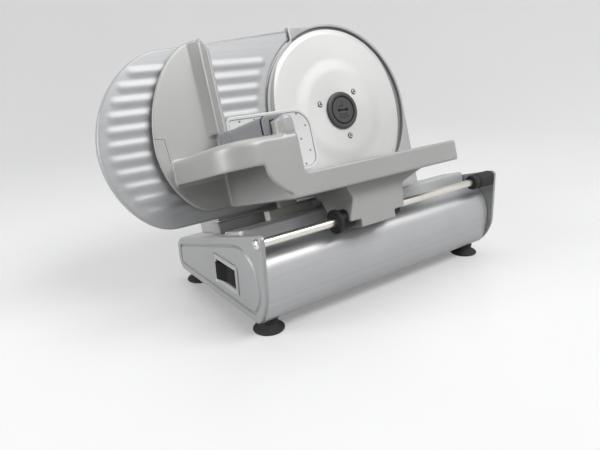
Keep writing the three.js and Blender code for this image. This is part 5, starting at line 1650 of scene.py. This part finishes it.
    def bracket(self) -> None:
        """The bracket that drops to the guide rod, notched at the front for the two bushes."""
        low, high, top = -LAYOUT.rod_drop - 10.0, self.tray_bottom, self.under_tray
        left, right, wide_left, wide_right = self.left, self.right, self.flare_left, self.flare_right
        step = low + self.notch
        neck = [left + 0.12 * (right - left), low + 0.69 * (high - low)]
        shoulder = [right + 4.4, low + 0.76 * (high - low)]
        upper = [[wide_left, top, 1], [wide_right, top, 1], [wide_right, high, 3], [*shoulder, 4]]
        back = corners([*upper, [right, step, 4], [right, low, 1.5], [left, low, 1.5], [left, step, 4],
                        [*neck, 4], [wide_left, high, 3]])
        front = corners([*upper, [right, step, 2], [self.notch_right, step, 1.5],
                         [self.notch_right, low, 1.2], [self.notch_left, low, 1.2],
                         [self.notch_left, step, 1.5], [left, step, 2], [*neck, 4], [wide_left, high, 3]])
        skin = Skin(HEAD)
        skin.slab(back, rim(self.bracket_back, -LAYOUT.rod_forward, 1.0, 0.3, 4))
        skin.slab(front, rim(-LAYOUT.rod_forward + 0.6, self.bracket_front, 0.3, 1.4, 4))
        self.web(skin, 0.0, [left, left, neck[0], wide_left, wide_left], low, high)
        self.web(skin, -self.sheet, [right, right, shoulder[0], wide_right, wide_right], low, high)
        clad(skin, "carriage_bracket", CAST, "carriage")

    def web(self, skin: Skin, shift: float, sides: Sequence[float], low: float, high: float) -> None:
        """A side web behind the bracket, which follows its flare.

        At each height the web's plan is a strip one sheet thick with a round back end. Its x comes from the
        bracket's side there, and its length grows from the rod to the tray.

        Args:
            skin: the bracket's skin.
            shift: x from the bracket's side to the web's left face.
            sides: x of the bracket's side at five heights.
            low: height of the bracket's bottom.
            high: height of the tray's underside.
        """
        top, front = self.under_tray, self.bracket_back - 2.0
        z = np.concatenate([np.linspace(low + 5.2, high, 18), [top]])[:, None]
        x = np.interp(z, [low, low + self.notch, low + 0.69 * (high - low), high, top], sides) + shift
        back = self.bracket_back + self.web_reach * np.clip((z - low - 5) / (high - low - 5), 0, 1)
        turn = np.linspace(0, math.pi, 9)[None]
        half = self.sheet / 2
        ends = [[x, front], [x + half - half * np.cos(turn), back - half + half * np.sin(turn)],
                [x + self.sheet, front], [x, front]]
        loop = np.concatenate([np.stack(np.broadcast_arrays(a, b, z), 2) for a, b in ends], 1)
        skin.look(Facing.PLAN).grid(loop)
        for end in (loop[0], loop[-1]):
            skin.fill([end[:-1, :2]], end[0, 2])
        skin.look(Facing.FRONT)

    def bushes(self) -> None:
        """Bushes, buffer ring and rear shoe."""
        bore, radius = LAYOUT.rod_bore, self.bush_radius
        for name, start in (("bush_left", self.bush_left), ("bush_right", self.bush_right)):
            end = start + self.bush_length
            ring = bent([[bore, start], [radius, start, 0.8], [radius, end, 0.8], [bore, end], [bore, start]])
            skin = Skin(HEAD, Facing.SIDE).turn(ring, LAYOUT.rod_place, 56)
            clad(skin, name, BLACK, "carriage")
        start, end = self.ring_left, self.ring_right
        ring = bent([[bore, start], [7.6, start, 0.8], [8.0, start + 0.9, 0.3], [9.6, start + 0.9, 0.4],
                     [10.0, start, 0.4], [11.7, start, 1.2], [11.7, end, 1.2], [bore, end], [bore, start]], 5)
        skin = Skin(HEAD, Facing.SIDE).turn(ring, LAYOUT.rod_place, 64)
        clad(skin, "buffer_ring", RUBBER, "carriage")
        low = -LAYOUT.deck_drop + 1.8
        sole = rectangle((self.shoe_left, low), (self.shoe_right, low + 10.5), 1.2)
        stem = rectangle((self.stem_left, low + 8), (self.stem_right, self.under_tray), 0.5)
        shoe = Skin(HEAD).slab(sole, rim(-9, -20, 0.8, 0.8, 4)).slab(stem, rim(-9.3, -16, 0.8, 0.8, 4))
        clad(shoe, "rear_shoe", NYLON, "carriage")

    def build(self) -> None:
        """Builds the carriage."""
        self.body()
        self.bracket()
        self.bushes()


@dataclass(frozen=True)
class Pusher:
    """The clear spiked plate and the smoky body that straddles the rail."""

    back: float = -22.0
    sheet: float = 3.0
    left: float = 31.0
    right: float = 131.0
    step_left: float = 43.6
    step_height: float = -24.4
    top: float = 6.5
    bottom: float = -58.0
    spike_start: tuple[float, float] = (113.8, 1.0)
    spike_pitch: float = 16.9
    spike_drop: float = 13.3
    spike_rows: int = 5
    arch_left: float = 19.0
    arch_right: float = 42.0
    arch_top: float = -8.0
    arch_low: float = -24.7
    slot_left: float = 25.9
    slot_right: float = 30.1
    slot_top: float = -12.4

    def plate(self) -> None:
        """The clear plate: raised rim, sunk field, rows of spikes, and grey lines and dots painting the shade
        at its edges and the spikes seen through it.
        """
        left, right, foot, step = self.left, self.right, self.step_left, self.step_height
        line = corners([[foot, self.bottom, 1], [right, self.bottom, 14], [right, self.top, 22],
                        [left, self.top, 6], [left, step, 1], [foot, step, 1]], 10)
        back, front = self.back, self.back - self.sheet
        side = rim(back, front, 0.5, 0.7, 4, 0.2)
        field = np.array([[2.6, front], [3.0, front + 0.15], [3.3, front + 0.65], [3.8, front + 0.8]])
        skin = Skin(HEAD).carry(line, np.concatenate([side, field]))
        skin.fill([line.at(side[0][0])], back)
        skin.fill([line.at(3.8)], front + 0.8)
        spike = bent([[0, back + 5], [0.3, back + 4.8, 0.1], [1.3, back + 0.3, 0.4], [1.6, back - 0.3],
                      [0, back - 0.3]], 3)
        (x, z), across, down, count = self.spike_start, self.spike_pitch, self.spike_drop, self.spike_rows
        spots = [(x + row % 2 * across / 2 - column * across, z - row * down)
                 for row in range(count) for column in range(count)]
        for place in spots:
            skin.turn(spike, place, 14)
        clad(skin, "pusher_plate", CLEAR, "pusher")
        # Grey strips paint the shade at the rim's step and along the side; grey dots paint the spikes seen
        # through the plate.
        shade = Skin(HEAD)
        shade.carry(line, np.array([[3.1, front + 0.25], [3.1, front + 0.15], [3.6, front + 0.7],
                                    [3.6, front + 0.8], [3.1, front + 0.25]]))
        shade.carry(line, np.array([[0.05, back - 0.8], [-0.03, back - 0.8], [-0.03, front + 0.9],
                                    [0.05, front + 0.9], [0.05, back - 0.8]]))
        dot = bent([[0, front + 0.72], [1.15, front + 0.72], [1.15, front + 0.8], [0, front + 0.8]])
        for place in spots:
            shade.turn(dot, place, 16)
        piece("pusher_plate_painted_shade", shade.mesh("pusher_painted_shade"), replace(GREY, slot=Slot.CLEAR), "pusher")

    def handle(self) -> None:
        """The body: an arch over the rail behind the fin, and a cheek on each side of the fin."""
        left, right, top, low = self.arch_left, self.arch_right, self.arch_top, self.arch_low
        near, far, crown = self.slot_left, self.slot_right, self.slot_top
        arch = corners([[left, low, 1], [left, top, 5.5], [right, top, 5.5], [right, low, 1], [far, low, 0.5],
                        [far, crown, 0.5], [near, crown, 0.5], [near, low, 0.5]], 8)
        skin = Skin(HEAD).slab(arch, rim(-40.6, -113, 0.5, 1.4, 6, 0.1))
        cheeks = (corners([[left, low, 1], [left, top, 5.5], [near, top, 0.5], [near, low, 0.5]], 8),
                  corners([[far, low, 0.5], [far, top, 0.5], [right, top, 5.5], [right, low, 1]], 8))
        for cheek in cheeks:
            skin.slab(cheek, rim(-25.3, -41.0, 0.5, 0.2, 4, 0.1))
        clad(skin, "pusher_body", SMOKY, "pusher")
        out, sunk, end = 0.2, 0.8, low + 1
        band = corners([[left - out, end, 0.5], [left - out, top + out, 5.7], [right + out, top + out, 5.7],
                        [right + out, end, 0.5], [right - sunk, end, 0.5], [right - sunk, top - sunk, 4.7],
                        [left + sunk, top - sunk, 4.7], [left + sunk, end, 0.5]], 8)
        strip = Skin(HEAD).slab(band, rim(-108.6, -111.4, 0.2, 0.2, 2, 0.02))
        piece("pusher_band", strip.mesh("pusher_band"), NAVY, "pusher")

    def build(self) -> None:
        """Builds both pieces."""
        self.plate()
        self.handle()


# Carried-over nodes, stage and camera


NODE_FINISHES = {
    "blade_hub": BRIGHT, "worm_wheel": NYLON, "motor_can": replace(BRIGHT, slot=Slot.BRUSHED),
    "motor_cap": BLACK, "motor_worm": BRIGHT, "thickness_carrier": CAST, "cam_drum": NYLON,
    "switch_body": BLACK, "rear_rail": BRIGHT,
    **{f"foot_screw_{end}_{side}": BRIGHT for end in ("front", "back") for side in ("left", "right")},
}


def dress_nodes() -> None:
    """Gives the CAD nodes that still show their finish."""
    for name, finish in NODE_FINISHES.items():
        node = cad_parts[name]
        node.data.materials.clear()
        node.data.materials.append(finish.build())
        LOG.info("%s: kept from the CAD part", name)


def seen_rays(hand: Tree) -> bpy.types.NodeSocket:
    """1 for what the camera, metal and glass see, and 0 for the light that the surroundings give."""
    path = hand.add("LightPath").outputs
    mirrored = hand.math("MAXIMUM", path["Is Glossy Ray"], path["Is Transmission Ray"])
    return hand.math("MAXIMUM", path["Is Camera Ray"], mirrored)


@dataclass(frozen=True)
class Studio:
    """Floor and backdrop in one bowl, soft lamps, and the camera at the photograph's angle."""

    floor_radius: float = 1500.0
    wall_height: float = 2200.0
    focal: float = 531.8228
    image_width: float = 600.0
    sensor: float = 36.0
    eye: tuple[float, float, float] = (-205.4171, -369.4089, 256.7089)
    right: tuple[float, float, float] = (0.8157755, -0.5760007, -0.0522824)
    down: tuple[float, float, float] = (-0.2292679, -0.2390624, -0.9435494)
    ahead: tuple[float, float, float] = (0.5309863, 0.7817112, -0.3270797)
    target: tuple[float, float, float] = (0.02, 0.0, 0.14)
    lamps: tuple = (("key", (0.50, -1.10, 1.45), (1.2, 0.7), 20.5),
                    ("top", (0.10, 0.25, 1.50), (1.2, 0.8), 5.0),
                    ("left", (-1.25, 0.15, 0.55), (0.5, 0.8), 8.5))
    paper: tuple = ((0.74, 0.74, 0.74), (0.80, 0.80, 0.80))
    sky: tuple = ((0.24, 0.245, 0.255), (0.74, 0.745, 0.75))
    bounce: tuple[float, float, float] = (0.22, 0.22, 0.22)
    glow: tuple[float, float, float] = (0.20, 0.20, 0.20)

    def bowl(self) -> None:
        """A pale floor that rises in a wide round curve to the backdrop."""
        edge = self.floor_radius
        profile = bent([[0, 0], [edge, 0, 700.0], [edge + 300, self.wall_height]], 24)
        skin = Skin(Space((0.0, 0.0, 0.0)), Facing.PLAN).turn(profile, (0.0, 0.0), 128)
        mesh = skin.mesh("stage")
        material = bpy.data.materials.new("studio_paper")
        material.use_nodes = True
        hand = Tree(material.node_tree)
        shader = material.node_tree.nodes["Principled BSDF"]
        clouds = hand.add("TexNoise", None, Vector=hand.place(), Scale=3.0, Detail=3.0)
        pale = shades(hand, clouds.outputs[0], *self.paper)
        hand.put(shader, "Base Color", shades(hand, seen_rays(hand), self.bounce, pale))
        glow = shades(hand, seen_rays(hand), (0.0, 0.0, 0.0), self.glow)
        hand.put(shader, "Emission Color", glow)
        shader.inputs["Emission Strength"].default_value = 1.0
        shader.inputs["Roughness"].default_value = 0.30
        shader.inputs["Specular IOR Level"].default_value = 0.3
        mesh.materials.append(material)
        stage = present("stage", mesh)

    def lamp(self, name: str, place: Sequence[float], size: Sequence[float], power: float) -> None:
        """A soft lamp that looks at the slicer."""
        data = bpy.data.lights.new(name, "AREA")
        data.shape, data.size, data.size_y, data.energy = "RECTANGLE", size[0], size[1], power
        lamp = present(name, data)
        lamp.location = place
        lamp.rotation_euler = (Vector(self.target) - Vector(place)).to_track_quat("-Z", "Y").to_euler()

    def build(self) -> None:
        """Builds the stage, the light and the camera."""
        self.bowl()
        for lamp in self.lamps:
            self.lamp(*lamp)
        world = bpy.data.worlds.new("studio")
        world.use_nodes = True
        hand = Tree(world.node_tree)
        sky = shades(hand, seen_rays(hand), *self.sky)
        hand.put(world.node_tree.nodes["Background"], "Color", sky)
        scene = bpy.context.scene
        scene.world = world
        scene.view_settings.view_transform = "Standard"
        data = bpy.data.cameras.new("camera")
        data.sensor_width = self.sensor
        data.lens = self.focal / self.image_width * self.sensor
        data.clip_start, data.clip_end = 0.01, 30.0
        camera = present("camera", data)
        turn = Matrix((self.right, [-v for v in self.down], [-v for v in self.ahead])).transposed()
        camera.matrix_world = Matrix.Translation(BASE.to_row(np.array(self.eye))) @ turn.to_4x4()
        scene.camera = camera


def main() -> None:
    """Builds every sub-assembly in order."""
    logging.basicConfig(level=logging.INFO, format="%(message)s")
    build_groups()
    for part in (Base, Deck, GuideRod, Switch, Blade, Housing, ThicknessPlate, Carriage, Pusher):
        part().build()
    dress_nodes()
    Studio().build()


if __name__ == "__main__":
    main()
